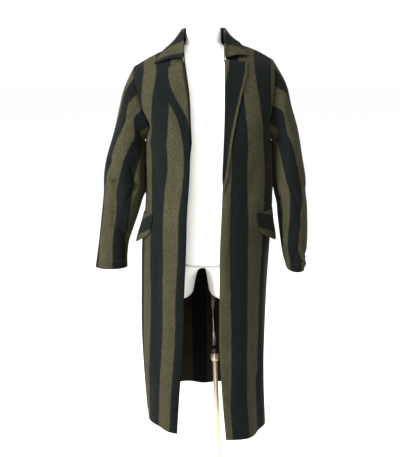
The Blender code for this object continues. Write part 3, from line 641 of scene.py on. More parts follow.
# Columns: z, first, second, third, fourth, fifth
STRIPES_FRONT_LEFT = [
    (0.354, 0.0255, 0.0780, 0.1300, 0.1800, 0.2300),
    (0.550, 0.0262, 0.0737, 0.1300, 0.1800, 0.2300),
    (0.700, 0.0250, 0.0680, 0.1255, 0.1760, 0.2260),
    (0.800, 0.0265, 0.0706, 0.1255, 0.1745, 0.2245),
    (0.900, 0.0245, 0.0730, 0.1325, 0.1820, 0.2320),
    (0.980, 0.0240, 0.0774, 0.1362, 0.1860, 0.2360),
    (1.050, 0.0255, 0.0779, 0.1362, 0.1860, 0.2360),
    (1.120, 0.0200, 0.0741, 0.1400, 0.1900, 0.2400),
    (1.190, 0.0170, 0.0681, 0.1440, 0.1940, 0.2440),
    (1.260, 0.0190, 0.0714, 0.1500, 0.2000, 0.2500),
    (1.330, 0.0120, 0.0608, 0.1250, 0.1720, 0.2200),
    (1.397, 0.0060, 0.0560, 0.1062, 0.1470, 0.1970),
    (1.465, -0.0080, 0.0400, 0.0836, 0.1228, 0.1700),
    (1.550, -0.0150, 0.0330, 0.0760, 0.1150, 0.1600),
]
STRIPES_FRONT_RIGHT = [
    (0.342, 0.0200, 0.0780, 0.1320, 0.1840, 0.2360),
    (0.450, 0.0235, 0.0810, 0.1350, 0.1870, 0.2390),
    (0.560, 0.0334, 0.0895, 0.1450, 0.1970, 0.2490),
    (0.680, 0.0370, 0.0965, 0.1500, 0.2020, 0.2540),
    (0.790, 0.0330, 0.0928, 0.1480, 0.2000, 0.2520),
    (0.900, 0.0320, 0.0900, 0.1500, 0.2020, 0.2540),
    (0.970, 0.0275, 0.0896, 0.1520, 0.2040, 0.2560),
    (1.050, 0.0265, 0.0835, 0.1500, 0.2020, 0.2540),
    (1.120, 0.0236, 0.0761, 0.1480, 0.2000, 0.2520),
    (1.190, 0.0232, 0.0721, 0.1442, 0.1980, 0.2500),
    (1.260, 0.0205, 0.0720, 0.1337, 0.1900, 0.2420),
    (1.330, 0.0120, 0.0617, 0.1142, 0.1680, 0.2200),
    (1.395, 0.0040, 0.0550, 0.1028, 0.1498, 0.2000),
    (1.465, -0.0080, 0.0400, 0.0891, 0.1449, 0.1950),
    (1.550, -0.0120, 0.0360, 0.0840, 0.1380, 0.1900),
]


def stripe_at(table, level, reach):
    """Stripe count at a level and a distance: 0 at the first line, 1 at the second and so on."""
    low = table[0]
    high = table[-1]
    for one, two in zip(table, table[1:]):
        if one[0] <= level <= two[0]:
            low = one
            high = two
            break
        if level < one[0]:
            high = one
            break
    part = min(1.0, max(0.0, (level - low[0]) / max(high[0] - low[0], 1e-9)))
    lines = [a + (b - a) * part for a, b in zip(low[1:], high[1:])]
    if reach <= lines[0]:
        return (reach - lines[0]) / STRIPE_WIDE
    for k, (one, two) in enumerate(zip(lines, lines[1:])):
        if reach <= two:
            return k + (reach - one) / (two - one)
    return len(lines) - 1 + (reach - lines[-1]) / STRIPE_WIDE


print("stripe rows", len(STRIPES_FRONT_LEFT), len(STRIPES_FRONT_RIGHT))

# %% [markdown]
# Creases are soft troughs and ridges in the cloth. Each is a line on the cut
# piece from one point to another, with a width and a depth: below zero it goes in. They are
# uneven in length and spacing, as cloth that has been worn and packed shows.

# %% Creases
# Columns: from_across, from_up, to_across, to_up, width, depth


def crease_push(creases, across, up):
    push = 0.0
    for a, b, c, d, width, depth in creases:
        run_x = c - a
        run_y = d - b
        t = ((across - a) * run_x + (up - b) * run_y) / (run_x * run_x + run_y * run_y)
        t = min(1.0, max(0.0, t))
        gap = math.hypot(across - a - run_x * t, up - b - run_y * t)
        if gap < width * 3:
            push += depth * math.exp(-(gap / width) ** 2)
    return push


CREASES_FRONT_LEFT = [
    (0.040, 1.180, 0.046, 0.960, 0.010, -0.0022),
    (0.110, 1.215, 0.060, 1.090, 0.014, 0.0020),
    (0.150, 1.235, 0.105, 1.105, 0.013, -0.0024),
    (0.095, 0.930, 0.100, 0.600, 0.018, -0.0032),
    (0.055, 0.860, 0.050, 0.520, 0.016, 0.0026),
    (0.150, 0.880, 0.165, 0.450, 0.017, 0.0036),
    (0.195, 0.930, 0.205, 0.620, 0.014, -0.0034),
    (0.020, 0.620, 0.012, 0.380, 0.012, 0.0022),
    (0.120, 0.500, 0.128, 0.372, 0.015, -0.0030),
    (0.205, 1.130, 0.160, 1.075, 0.009, -0.0018),
    (0.190, 1.200, 0.160, 1.150, 0.008, 0.0016),
    (0.218, 1.235, 0.219, 1.100, 0.012, 0.0010),
]
CREASES_FRONT_RIGHT = [
    (0.030, 1.120, 0.034, 0.830, 0.009, -0.0034),
    (0.012, 1.080, 0.014, 0.800, 0.010, 0.0022),
    (0.110, 1.215, 0.080, 1.085, 0.014, -0.0020),
    (0.160, 1.220, 0.120, 1.095, 0.013, 0.0022),
    (0.075, 0.900, 0.070, 0.560, 0.018, 0.0030),
    (0.115, 0.840, 0.112, 0.480, 0.016, -0.0032),
    (0.165, 0.930, 0.175, 0.520, 0.017, 0.0038),
    (0.210, 0.900, 0.222, 0.560, 0.014, -0.0034),
    (0.030, 0.660, 0.020, 0.400, 0.014, -0.0024),
    (0.140, 0.520, 0.150, 0.365, 0.015, -0.0028),
    (0.200, 1.190, 0.170, 1.140, 0.009, -0.0018),
    (0.232, 1.240, 0.234, 1.115, 0.012, 0.0018),
]
CREASES_BACK = [
    (-0.180, 1.235, -0.090, 1.130, 0.012, 0.0024),
    (-0.175, 1.190, -0.105, 1.080, 0.010, -0.0024),
    (0.185, 1.240, 0.100, 1.120, 0.012, 0.0024),
    (0.180, 1.185, 0.110, 1.095, 0.010, -0.0022),
    (-0.060, 1.110, 0.050, 1.085, 0.013, -0.0018),
    (-0.040, 1.060, 0.070, 1.045, 0.011, 0.0016),
    (-0.150, 0.960, -0.160, 0.560, 0.014, 0.0032),
    (-0.105, 0.900, -0.112, 0.500, 0.014, -0.0034),
    (0.110, 0.930, 0.118, 0.540, 0.014, -0.0034),
    (0.160, 0.980, 0.172, 0.500, 0.015, 0.0034),
    (-0.215, 0.900, -0.225, 0.520, 0.013, -0.0030),
    (0.218, 0.880, 0.228, 0.560, 0.013, -0.0030),
    (0.020, 0.700, 0.024, 0.430, 0.014, 0.0026),
    (-0.075, 0.620, -0.080, 0.400, 0.013, 0.0024),
]
print("creases", len(CREASES_FRONT_LEFT), len(CREASES_FRONT_RIGHT), len(CREASES_BACK))

# %% [markdown]
# The fronts and the back now become shells. The cloth thins a little where it runs into a seam,
# so each seam shows as a fine groove. At the hem the wool is turned up inside by 24 mm and caught
# down with small stitches, so the wall is thicker there.

# %% Fronts and back
HEM_TURN = 0.026
HEM_FADE = 0.004
HEM_EXTRA = 0.0016
SEAM_DIP = 0.0009
EDGE_RIM = 0.0006
BACK_FIRST_LINE = 0.011


def flatten_seam(normals, rows, cols):
    for r in rows:
        for c in cols:
            normals[r][c].y = 0.0
            normals[r][c].normalize()


def move_y(net, rows, cols, step):
    for r in rows:
        for c in cols:
            net[r][c].y += step


def sewn_panel(name, net, sides, top, step, stripes, creases, centre, start_rim):
    """sides: the columns with a side seam. top: the columns with a shoulder seam.
    step moves the sewn edges towards the next panel. centre: the column distances start from."""
    rows = len(net)
    cols = len(net[0])
    last = rows - 1
    under = range(UNDER_ROW + 1)
    normals = outward_normals(net)
    flatten_seam(normals, under, sides)
    flatten_seam(normals, [last], top)
    move_y(net, under, sides, step)
    move_y(net, [last], top, step)
    runs = [run_of(line) for line in net]
    heights = [run_of(column) for column in zip(*net)]
    cut = grid(rows, cols, lambda r, c: (runs[r][c] - runs[r][centre], net[r][c].z))

    def sewn(r, c):
        return c in sides or r == last

    def shaped_point(r, c):
        push = crease_push(creases, *cut[r][c])
        if r > 1:
            push *= min(1.0, 0.4 + r * 0.1)
        if sewn(r, c):
            push = -SEAM_DIP
        return net[r][c] + normals[r][c] * push

    def wall(r, c):
        turned_up = min(1.0, max(0.0, (HEM_TURN - heights[c][r]) / HEM_FADE))
        return CLOTH - (SEAM_DIP if sewn(r, c) else 0.0) + HEM_EXTRA * turned_up

    shaped = grid(rows, cols, shaped_point)
    stripe = grid(rows, cols, lambda r, c: stripes(*cut[r][c]))
    rims = (EDGE_RIM, 0.0, 0.0, start_rim)
    piece = cloth_shell(name, shaped, normals, grid(rows, cols, wall), cut, stripe, rims)
    return piece, normals, shaped


def make_front(name, net, table, creases, colour_shift):
    steps = FRONT_STEPS * FINE

    def stripes(across, level):
        return stripe_at(table, level, across) + colour_shift

    return sewn_panel(name, net, [steps], range(steps + 1), -SEAM / 2, stripes, creases, 0, EDGE_RIM)


def back_stripes(across, level):
    return (across - BACK_FIRST_LINE) / STRIPE_WIDE


front_left, left_normals, left_shaped = make_front(
    "front_left_cloth", left_net, STRIPES_FRONT_LEFT, CREASES_FRONT_LEFT, 0)
front_right, right_normals, right_shaped = make_front(
    "front_right_cloth", right_net, STRIPES_FRONT_RIGHT, CREASES_FRONT_RIGHT, 1)
back_wide = BACK_STEPS * FINE
shoulder = SHOULDER_STEPS * FINE
shoulder_columns = [c for c in range(back_wide + 1) if c <= shoulder or c >= back_wide - shoulder]
back, back_normals, back_shaped = sewn_panel(
    "back_cloth", back_points, [0, back_wide], shoulder_columns, SEAM / 2, back_stripes, CREASES_BACK,
    back_wide // 2, 0.0)

# %% [markdown]
# A sleeve is a tube that starts at the armhole, turns down past the shoulder, bends a little at
# the elbow and ends in an open cuff. Rings carry its shape, and its own stripes drift across it
# because the sleeve is cut straight but hangs at a slant.

# %% Sizes of the sleeves
# Columns: lean, x, y, z, out, deep
SLEEVE_LEFT = [
    (20, -0.2032, 0.006, 1.3413, 0.0860, 0.073),
    (38, -0.2130, 0.005, 1.3072, 0.0620, 0.072),
    (60, -0.2183, 0.003, 1.2805, 0.0515, 0.070),
    (82, -0.2247, 0.002, 1.2580, 0.0505, 0.068),
    (90, -0.2335, 0.000, 1.2060, 0.0595, 0.064),
    (90, -0.2383, -0.002, 1.1550, 0.0638, 0.061),
    (90, -0.2405, -0.004, 1.1040, 0.0635, 0.058),
    (90, -0.2480, -0.006, 1.0650, 0.0600, 0.055),
    (90, -0.2560, -0.008, 1.0280, 0.0565, 0.052),
    (90, -0.2660, -0.010, 0.9860, 0.0515, 0.049),
    (90, -0.2760, -0.011, 0.9440, 0.0475, 0.045),
    (90, -0.2825, -0.011, 0.8980, 0.0480, 0.040),
    (90, -0.2855, -0.010, 0.8620, 0.0505, 0.037),
]
SLEEVE_RIGHT = [
    (13, 0.2334, 0.006, 1.3460, 0.0872, 0.075),
    (29, 0.2432, 0.005, 1.3105, 0.0587, 0.076),
    (58, 0.2530, 0.003, 1.2790, 0.0436, 0.076),
    (83, 0.2584, 0.001, 1.2550, 0.0409, 0.076),
    (90, 0.2637, -0.002, 1.2060, 0.0447, 0.076),
    (90, 0.2687, -0.004, 1.1550, 0.0492, 0.075),
    (90, 0.2714, -0.007, 1.1040, 0.0489, 0.074),
    (90, 0.2787, -0.010, 1.0650, 0.0467, 0.072),
    (90, 0.2815, -0.012, 1.0280, 0.0460, 0.070),
    (90, 0.2850, -0.014, 0.9860, 0.0440, 0.068),
    (90, 0.2880, -0.015, 0.9440, 0.0410, 0.066),
    (90, 0.2905, -0.015, 0.8980, 0.0350, 0.064),
    (90, 0.2950, -0.014, 0.8600, 0.0280, 0.061),
]
SLEEVE_POINTS = 80
SLEEVE_BETWEEN = [1, 1, 1, 1, 2, 2, 2, 1, 1, 2, 2, 2, 2]
# Three stripe lines on each ring: distances from its outermost point round the front
SLEEVE_STRIPES_LEFT = [
    (0.0950, 0.1450, 0.2000), (0.0900, 0.1350, 0.1850), (0.0850, 0.1280, 0.1750),
    (0.0720, 0.1180, 0.1650), (0.0595, 0.1080, 0.1570), (0.0500, 0.0970, 0.1450),
    (0.0400, 0.0888, 0.1370), (0.0280, 0.0748, 0.1285), (0.0280, 0.0770, 0.1220),
    (0.0300, 0.0779, 0.1181), (0.0260, 0.0750, 0.1190), (0.0250, 0.0738, 0.1190),
    (0.0255, 0.0750, 0.1200), (0.0255, 0.0757, 0.1210),
]
SLEEVE_STRIPES_RIGHT = [
    (0.0900, 0.1450, 0.2000), (0.0640, 0.1200, 0.1750), (0.0490, 0.1020, 0.1560),
    (0.0440, 0.0940, 0.1460), (0.0400, 0.0860, 0.1360), (0.0340, 0.0790, 0.1260),
    (0.0240, 0.0730, 0.1180), (0.0140, 0.0630, 0.1050), (0.0190, 0.0690, 0.1090),
    (0.0230, 0.0730, 0.1100), (0.0280, 0.0780, 0.1140), (0.0300, 0.0800, 0.1160),
    (0.0140, 0.0640, 0.1030), (0.0080, 0.0580, 0.0980),
]
CREASES_SLEEVE_LEFT = [
    (0.046, 0.180, 0.078, 0.242, 0.010, -0.0068),
    (0.078, 0.242, 0.090, 0.378, 0.011, -0.0062),
    (0.125, 0.205, 0.141, 0.258, 0.008, -0.0064),
    (0.141, 0.258, 0.118, 0.293, 0.008, -0.0050),
    (0.114, 0.396, 0.165, 0.430, 0.008, -0.0062),
    (0.165, 0.430, 0.187, 0.475, 0.007, -0.0058),
    (0.150, 0.150, 0.152, 0.240, 0.010, 0.0040),
    (0.100, 0.180, 0.108, 0.330, 0.011, 0.0038),
    (0.050, 0.300, 0.055, 0.440, 0.012, 0.0034),
    (0.125, 0.330, 0.140, 0.390, 0.010, 0.0036),
    (0.300, 0.210, 0.262, 0.290, 0.011, -0.0056),
    (0.275, 0.320, 0.242, 0.380, 0.010, 0.0044),
    (0.310, 0.370, 0.270, 0.440, 0.010, -0.0048),
    (0.340, 0.150, 0.305, 0.190, 0.010, 0.0036),
    (0.075, 0.090, 0.105, 0.165, 0.015, 0.0030),
    (0.020, 0.440, 0.028, 0.500, 0.012, -0.0030),
]
CREASES_SLEEVE_RIGHT = [
    (0.150, 0.295, 0.176, 0.455, 0.0055, -0.0110),
    (0.136, 0.288, 0.162, 0.455, 0.006, 0.0038),
    (0.097, 0.278, 0.066, 0.386, 0.011, -0.0056),
    (0.100, 0.160, 0.112, 0.250, 0.012, 0.0034),
    (0.060, 0.464, 0.070, 0.492, 0.006, 0.0044),
    (0.070, 0.492, 0.010, 0.520, 0.006, 0.0044),
    (0.000, 0.480, 0.034, 0.484, 0.006, -0.0075),
    (0.095, 0.455, 0.120, 0.500, 0.008, -0.0056),
    (0.125, 0.104, 0.155, 0.112, 0.006, -0.0042),
    (0.300, 0.220, 0.260, 0.300, 0.011, -0.0056),
    (0.275, 0.330, 0.240, 0.390, 0.010, 0.0044),
    (0.312, 0.380, 0.270, 0.450, 0.010, -0.0050),
    (0.045, 0.170, 0.035, 0.260, 0.013, 0.0030),
    (0.345, 0.440, 0.320, 0.510, 0.010, -0.0050),
]
# Where the arm's side of a sleeve is pressed towards the body
TUCK_LEFT = [(0.2265, 0.125, 0.2265, 0.285, 0.013, 0.0075)]
TUCK_RIGHT = [(0.2216, 0.115, 0.2216, 0.265, 0.013, 0.0045)]
print("sleeve rings", len(SLEEVE_LEFT), len(SLEEVE_RIGHT))

# %% Sleeves
SLEEVE_ROUND = 0.40
SLEEVE_SQUARE = 0.92
SLEEVE_IN = 0.0005
CUFF_TURN = 0.027
CUFF_EXTRA = HEM_EXTRA * 0.8
# Creases start this far down the sleeve and reach full depth over the next stretch
CREASE_START = 0.02
CREASE_FADE = 0.05
# Down to here the sleeve's ridges near the body are kept low
UPPER_SLEEVE = 0.36


def armhole(front, behind, front_col, back_col):
    """Points round the armhole: the shoulder point, down the front, up the back."""
    ahead = [line[front_col] for line in front[UNDER_ROW:]]
    after = [line[back_col] for line in behind[UNDER_ROW:]]
    half = SLEEVE_POINTS // 2
    return even(ahead[::-1], half)[:-1] + even(after, half)[:-1]


def sleeve_ring(sign, lean, x, y, z, out, deep):
    """An oval ring that starts at its outermost point and goes round by the front."""
    tilt = math.radians(lean)
    away = Vector((sign * math.sin(tilt), 0, math.cos(tilt)))
    ring = []
    for k in range(SLEEVE_POINTS):
        turn = 2 * math.pi * k / SLEEVE_POINTS
        across = math.copysign(abs(math.cos(turn)) ** SLEEVE_SQUARE, math.cos(turn))
        ring.append(Vector((x, y, z)) + away * (out * across) + Vector((0, -deep * math.sin(turn), 0)))
    return ring


def mean(points):
    return sum(points, Vector((0, 0, 0))) / len(points)


def ring_normals(ring):
    middle = mean(ring)
    line = []
    for k, point in enumerate(ring):
        chord = ring[(k + 1) % SLEEVE_POINTS] - ring[k - 1]
        outward = point - middle
        outward -= chord * (outward.dot(chord) / chord.length_squared)
        line.append(outward.normalized())
    return line


def make_sleeve(name, hole, table, sign, lines, creases, tucks):
    stations = [[point - Vector((sign * SLEEVE_IN, 0, 0)) for point in hole]]
    stations += [sleeve_ring(sign, *row) for row in table]
    steps = [count * FINE for count in SLEEVE_BETWEEN]
    rings = list(zip(*[catmull(column, steps) for column in zip(*stations)]))
    marks = catmull(lines, steps)
    along = run_of([mean(ring) for ring in rings])
    runs = [run_of(ring + ring[:1]) for ring in rings]
    normals = [ring_normals(ring) for ring in rings]
    rows = len(rings)
    half = SLEEVE_POINTS // 2

    def stripe_count(r, k):
        first, second, third = marks[r]
        reach = runs[r][k] - (runs[r][-1] if k > half else 0.0)
        if reach < second:
            return (reach - first) / (second - first)
        return 1 + (reach - second) / (third - second)

    def shaped_point(r, k):
        place = SLEEVE_ROUND * (k / SLEEVE_POINTS)
        push = crease_push(creases, place, along[r])
        push += crease_push(creases, place - SLEEVE_ROUND, along[r])
        if push > 0 and along[r] <= UPPER_SLEEVE:
            push *= min(1.0, 0.25 + abs(k / SLEEVE_POINTS - 0.5) * 6)
        fade = min(1.0, max(0.0, (along[r] - CREASE_START) / CREASE_FADE))
        push = (push + crease_push(tucks, place, along[r])) * fade
        return rings[r][k] + normals[r][k] * (push if r > 0 else -SEAM_DIP)

    def wall(r, k):
        turned_up = CUFF_EXTRA if along[-1] - along[r] < CUFF_TURN else 0.0
        return CLOTH - (SEAM_DIP if r == 0 else 0.0) + turned_up

    # The nets start at the under-arm seam, where the stripe count breaks
    start = half + 1

    def turned(net):
        return [line[start:] + line[:start] for line in net]

    shaped = turned(grid(rows, SLEEVE_POINTS, shaped_point))
    thick = turned(grid(rows, SLEEVE_POINTS, wall))
    normals = turned(normals)
    cut = []
    for run, v in zip(runs, along):
        cut.append([(u, v) for u in run[start:-1]] + [(u + run[-1], v) for u in run[:start + 1]])
    stripe = turned(grid(rows, SLEEVE_POINTS, stripe_count))
    for line in stripe:
        line.append(2 * line[-1] - line[-2])
    rims = (0.0, 0.0, EDGE_RIM, 0.0)
    return cloth_shell(name, shaped, normals, thick, cut, stripe, rims, wrap=True), shaped, normals


sleeve_left, left_sleeve_net, left_sleeve_normals = make_sleeve(
    "sleeve_left_cloth", armhole(left_net, back_points, FRONT_STEPS * FINE, 0),
    SLEEVE_LEFT, -1, SLEEVE_STRIPES_LEFT, CREASES_SLEEVE_LEFT, TUCK_LEFT)
sleeve_right, right_sleeve_net, right_sleeve_normals = make_sleeve(
    "sleeve_right_cloth", armhole(right_net, back_points, FRONT_STEPS * FINE, back_wide),
    SLEEVE_RIGHT, 1, SLEEVE_STRIPES_RIGHT, CREASES_SLEEVE_RIGHT, TUCK_RIGHT)

# %% [markdown]
# The lapels are the upper ends of the fronts, turned back, and the pocket flaps are small pieces
# sewn on by their top edge. Both lie on a front, so their points are found on the front's own net
# and then moved out from it by a small gap, so that they never cut into it.

# %% Points on a panel
SEARCHES = 20
CLEAR_SHARE = 0.7


def faces_of(net):
    points = [point for line in net for point in line]
    cols = len(net[0])
    faces = []
    for r in range(len(net) - 1):
        for c in range(cols - 1):
            a = r * cols + c
            faces.append((a, a + 1, a + cols + 1))
            faces.append((a, a + cols + 1, a + cols))
    return BVHTree.FromPolygons(points, faces)


def panel_at(net, place, z):
    """The panel's point at a place across it, 0 to 1 from the opening edge, and a height."""
    steps = len(net[0]) - 1
    c = min(int(place * steps), steps - 1)
    part = place * steps - c
    low = net[0][c].lerp(net[0][c + 1], part)
    for row in net[1:]:
        high = row[c].lerp(row[c + 1], part)
        if low.z <= z <= high.z:
            return low.lerp(high, (z - low.z) / max(high.z - low.z, 1e-9))
        low = high
    return low


def place_of(net, x, z):
    low = 0.0
    high = 1.0
    start = panel_at(net, 0.0, z).x
    for again in range(SEARCHES):
        middle = (low + high) / 2
        if abs(panel_at(net, middle, z).x - start) < abs(x - start):
            low = middle
        else:
            high = middle
    return (low + high) / 2


def laid_line(net, steps, inner, inner_z, outer, outer_z):
    """A line of points of the panel between two of its places."""
    line = []
    for k in range(steps + 1):
        t = k / steps
        line.append(panel_at(net, inner + (outer - inner) * t, inner_z + (outer_z - inner_z) * t))
    return line


def rise_clear(net, normals, rise, panel):
    """Raise points until the middle of each face is clear of the panel below."""
    tree = faces_of(panel)
    need = LAY_GAP * CLEAR_SHARE
    for again in range(6):
        for r in range(len(net) - 1):
            for c in range(len(net[0]) - 1):
                corners = ((r, c), (r, c + 1), (r + 1, c), (r + 1, c + 1))
                middle = Vector((0, 0, 0))
                aim = Vector((0, 0, 0))
                for i, j in corners:
                    middle += (net[i][j] + normals[i][j] * rise[i][j]) / 4
                    aim += normals[i][j] / 4
                hit = tree.find_nearest(middle)[0]
                above = (middle - hit).dot(aim.normalized())
                if above < need:
                    for i, j in corners:
                        rise[i][j] += need - above


print("faces of the left front", (len(left_net) - 1) * (len(left_net[0]) - 1))

# %% Sizes of the lapels and flaps
# Columns: roll_z, outer_x, outer_z
LAPEL_LEFT = [
    (1.215, -0.0420, 1.215),
    (1.245, -0.0500, 1.245),
    (1.275, -0.0560, 1.276),
    (1.308, -0.0615, 1.306),
    (1.340, -0.0700, 1.335),
    (1.370, -0.0850, 1.364),
    (1.400, -0.1010, 1.392),
    (1.428, -0.1130, 1.420),
    (1.455, -0.1195, 1.448),
    (1.490, -0.1200, 1.470),
]
LAPEL_RIGHT = [
    (1.122, 0.0690, 1.122),
    (1.160, 0.0730, 1.160),
    (1.200, 0.0770, 1.198),
    (1.240, 0.0815, 1.236),
    (1.280, 0.0870, 1.276),
    (1.320, 0.0945, 1.316),
    (1.360, 0.1025, 1.356),
    (1.400, 0.1120, 1.398),
    (1.440, 0.1225, 1.440),
    (1.470, 0.1290, 1.468),
    (1.496, 0.1300, 1.492),
]
# Columns: inner_place, inner_z, outer_place, outer_z, stand_in, stand_out
FLAP_LEFT = [
    (0.51, 1.042, 0.87, 1.040, 0.0, 0.0),
    (0.52, 1.022, 0.88, 1.018, 0.0005, 0.0025),
    (0.53, 1.005, 0.89, 0.996, 0.001, 0.006),
    (0.54, 0.990, 0.90, 0.966, 0.0015, 0.012),
    (0.56, 0.978, 0.89, 0.936, 0.002, 0.019),
]
FLAP_RIGHT = [
    (0.44, 1.052, 0.81, 1.056, 0.0, 0.0),
    (0.45, 1.034, 0.82, 1.034, 0.0005, 0.0025),
    (0.47, 1.016, 0.83, 1.010, 0.001, 0.006),
    (0.49, 1.000, 0.83, 0.979, 0.0015, 0.014),
    (0.52, 0.988, 0.82, 0.950, 0.002, 0.021),
]

# %% [markdown]
# A lapel isn't pressed flat: it rolls over the front's edge in a soft curve and lies down towards
# its outer edge. The first columns of its net go round that fold, and the stripes on it are
# counted from its outer edge, because that is the edge of the cloth.

# %% Lapels
LAPEL_STEPS = 26
LAPEL_TAPER = 0.055
LAPEL_START = 0.004
# Points of the roll: how far past the front's edge and how far up
ROLL = [(0.0027, -0.0006), (0.0036, 0.0012), (0.0032, 0.0034), (0.0016, 0.0054)]


def lapel_rise(wide, taper, t):
    """How far a lapel stands off the front: a soft puff at its roll and a little at its tip."""
    puff = min(0.0040, 0.07 * wide)
    roll = puff * taper * math.exp(-(t / 0.26) ** 2)
    return LAY_GAP + roll + 0.0012 * max(0.0, (t - 0.8) / 0.2) ** 2


def make_lapel(name, net, table, first_line, colour_shift):
    rows = []
    taper = []
    for z, x, outer_z in catmull(table, [5] * (len(table) - 1)):
        part = min(1.0, max(0.0, (z - table[0][0]) / LAPEL_TAPER))
        part = part * part * (3 - 2 * part)
        taper.append(part)
        outer = LAPEL_START + (place_of(net, x, outer_z) - LAPEL_START) * (0.30 + 0.70 * part)
        rows.append((LAPEL_START, z, outer, outer_z))
    base = [laid_line(net, LAPEL_STEPS, *row) for row in rows]
    normals = outward_normals(base)
    rise = []
    for line, part in zip(base, taper):
        wide = run_of(line)[-1]
        rise.append([lapel_rise(wide, part, k / LAPEL_STEPS) for k in range(LAPEL_STEPS + 1)])
    rise_clear(base, normals, rise, net)
    shaped = []
    cut = []
    stripe = []
    for r, line in enumerate(base):
        normal = normals[r][0]
        away = line[0] - line[3]
        away -= normal * away.dot(normal)
        away.normalize()
        edge = panel_at(net, 0.0, rows[r][1])
        first = line[0] + normal * (rise[r][0] + CLOTH)
        top = [first.lerp(edge + away * out + normal * up, 0.12 + 0.88 * taper[r]) for out, up in ROLL]
        for c, point in enumerate(line):
            top.append(point + normals[r][c] * (rise[r][c] + CLOTH))
        shaped.append(top)
        run = run_of(top)
        cut.append([(run[-1] - at, rows[r][1]) for at in run])
        stripe.append([(run[-1] - at - first_line) / STRIPE_WIDE + colour_shift for at in run])
    count = len(shaped[0])
    aims = normals_of(shaped)
    turn_out([line[6:] for line in shaped], [line[6:] for line in aims])
    half = len(aims) // 2
    if aims[half][count // 2].dot(normals[half][count // 2 - 4]) < 0:
        flip(aims)

    def wall(r, c):
        return CLOTH * (0.45 + 0.55 * taper[r]) * (0.62 + 0.08 * c if c < 5 else 1.0)

    thick = grid(len(shaped), count, wall)
    return cloth_shell(name, shaped, aims, thick, cut, stripe, (0.0004, 0.0007, 0.0004, 0.0))


lapel_left = make_lapel("lapel_left_cloth", left_net, LAPEL_LEFT, 0.0255, 0)
lapel_right = make_lapel("lapel_right_cloth", right_net, LAPEL_RIGHT, 0.0065, 1)

# %% [markdown]
# The pocket flaps are cut across the cloth, so their stripes lie level: dark above and brown
# along the lower edge. The lower corners are softly rounded and stand away from the coat.

# %% Pocket flaps
FLAP_STEPS = 24
FLAP_ROUND_WIDE = 0.20
FLAP_ROUND_HIGH = 0.30


def flap_reach(t):
    """How far down the flap goes at a place along it: less at its two rounded lower corners."""
    near = max(0.0, 1 - min(t, 1 - t) / FLAP_ROUND_WIDE)
    return 1 - FLAP_ROUND_HIGH * (1 - math.sqrt(1 - near * near))


def make_flap(name, net, table, brown_high):
    steps = [6] * (len(table) - 1)
    places = catmull([row[0:3] for row in table], steps)
    stands = catmull([row[3:6] for row in table], steps)
    full = []
    heights = []
    for (inner, inner_z, outer), (outer_z, stand_in, stand_out) in zip(places, stands):
        full.append(laid_line(net, FLAP_STEPS, inner, inner_z, outer, outer_z))
        spots = [k / FLAP_STEPS for k in range(FLAP_STEPS + 1)]
        heights.append([LAY_GAP + stand_in + (stand_out - stand_in) * t for t in spots])
    rows = len(full)
    cols = FLAP_STEPS + 1

    def drawn_up(values, blend):
        """The same net, drawn up towards the pocket at the two lower corners."""
        def value(r, c):
            at = r * flap_reach(c / FLAP_STEPS)
            row = min(int(at), rows - 2)
            return blend(values[row][c], values[row + 1][c], at - row)
        return grid(rows, cols, value)

    base = drawn_up(full, lambda one, two, t: one.lerp(two, t))
    rise = drawn_up(heights, lambda one, two, t: one + (two - one) * t)
    normals = outward_normals(base)
    rise_clear(base, normals, rise, net)
    deep = [run_of(column)[-1] for column in zip(*full)]
    low = [run_of(column) for column in zip(*base)]
    runs = [run_of(line) for line in base]
    shaped = grid(rows, cols, lambda r, c: base[r][c] + normals[r][c] * (rise[r][c] + CLOTH))
    thick = grid(rows, cols, lambda r, c: CLOTH)
    cut = grid(rows, cols, lambda r, c: (deep[c] - low[c][r], runs[r][c]))
    stripe = grid(rows, cols, lambda r, c: (brown_high - deep[c] + low[c][r]) / STRIPE_WIDE)
    return cloth_shell(name, shaped, normals, thick, cut, stripe, (0.0003, EDGE_RIM, EDGE_RIM, EDGE_RIM))


flap_left = make_flap("flap_left_cloth", left_net, FLAP_LEFT, 0.021)
flap_right = make_flap("flap_right_cloth", right_net, FLAP_RIGHT, 0.023)

# %% [markdown]
# The collar stands up round the neck, folds over and lies down on the shoulders. Each station of
# the table gives the foot, the fold and the outer edge. Its stripes cross it from fold to edge.

# %% Sizes of the collar
# Columns: base_x, base_y, base_z, fold_x, fold_y, fold_z, edge_x, edge_y, edge_z, bulge
COLLAR = [
    (-0.0495, -0.086, 1.4920, -0.0505, -0.099, 1.5060, -0.1390, -0.062, 1.4880, 0.005),
    (-0.0525, -0.056, 1.5200, -0.0515, -0.066, 1.5430, -0.1240, -0.032, 1.5150, 0.003),
    (-0.0560, -0.012, 1.5450, -0.0535, -0.010, 1.5820, -0.1060, 0.010, 1.5350, -0.003),
    (-0.0500, 0.038, 1.5560, -0.0460, 0.040, 1.5890, -0.0800, 0.074, 1.5240, -0.001),
    (-0.0270, 0.0600, 1.5560, -0.0250, 0.066, 1.5900, -0.0430, 0.112, 1.5180, 0.003),
    (0.0045, 0.0660, 1.5560, 0.0045, 0.072, 1.5900, 0.0045, 0.122, 1.5160, 0.004),
    (0.0360, 0.0600, 1.5560, 0.0340, 0.066, 1.5900, 0.0520, 0.112, 1.5200, 0.003),
    (0.0600, 0.038, 1.5580, 0.0560, 0.040, 1.5900, 0.0890, 0.074, 1.5280, -0.001),
    (0.0665, -0.012, 1.5480, 0.0640, -0.010, 1.5840, 0.1060, 0.009, 1.5545, -0.003),
    (0.0640, -0.056, 1.5210, 0.0630, -0.066, 1.5440, 0.1270, -0.032, 1.5290, 0.003),
    (0.0630, -0.086, 1.4930, 0.0635, -0.099, 1.5070, 0.1340, -0.056, 1.5130, 0.005),
]
COLLAR_BETWEEN = [3, 3, 3, 2, 2, 2, 2, 3, 3, 3]
print("collar stations", len(COLLAR))

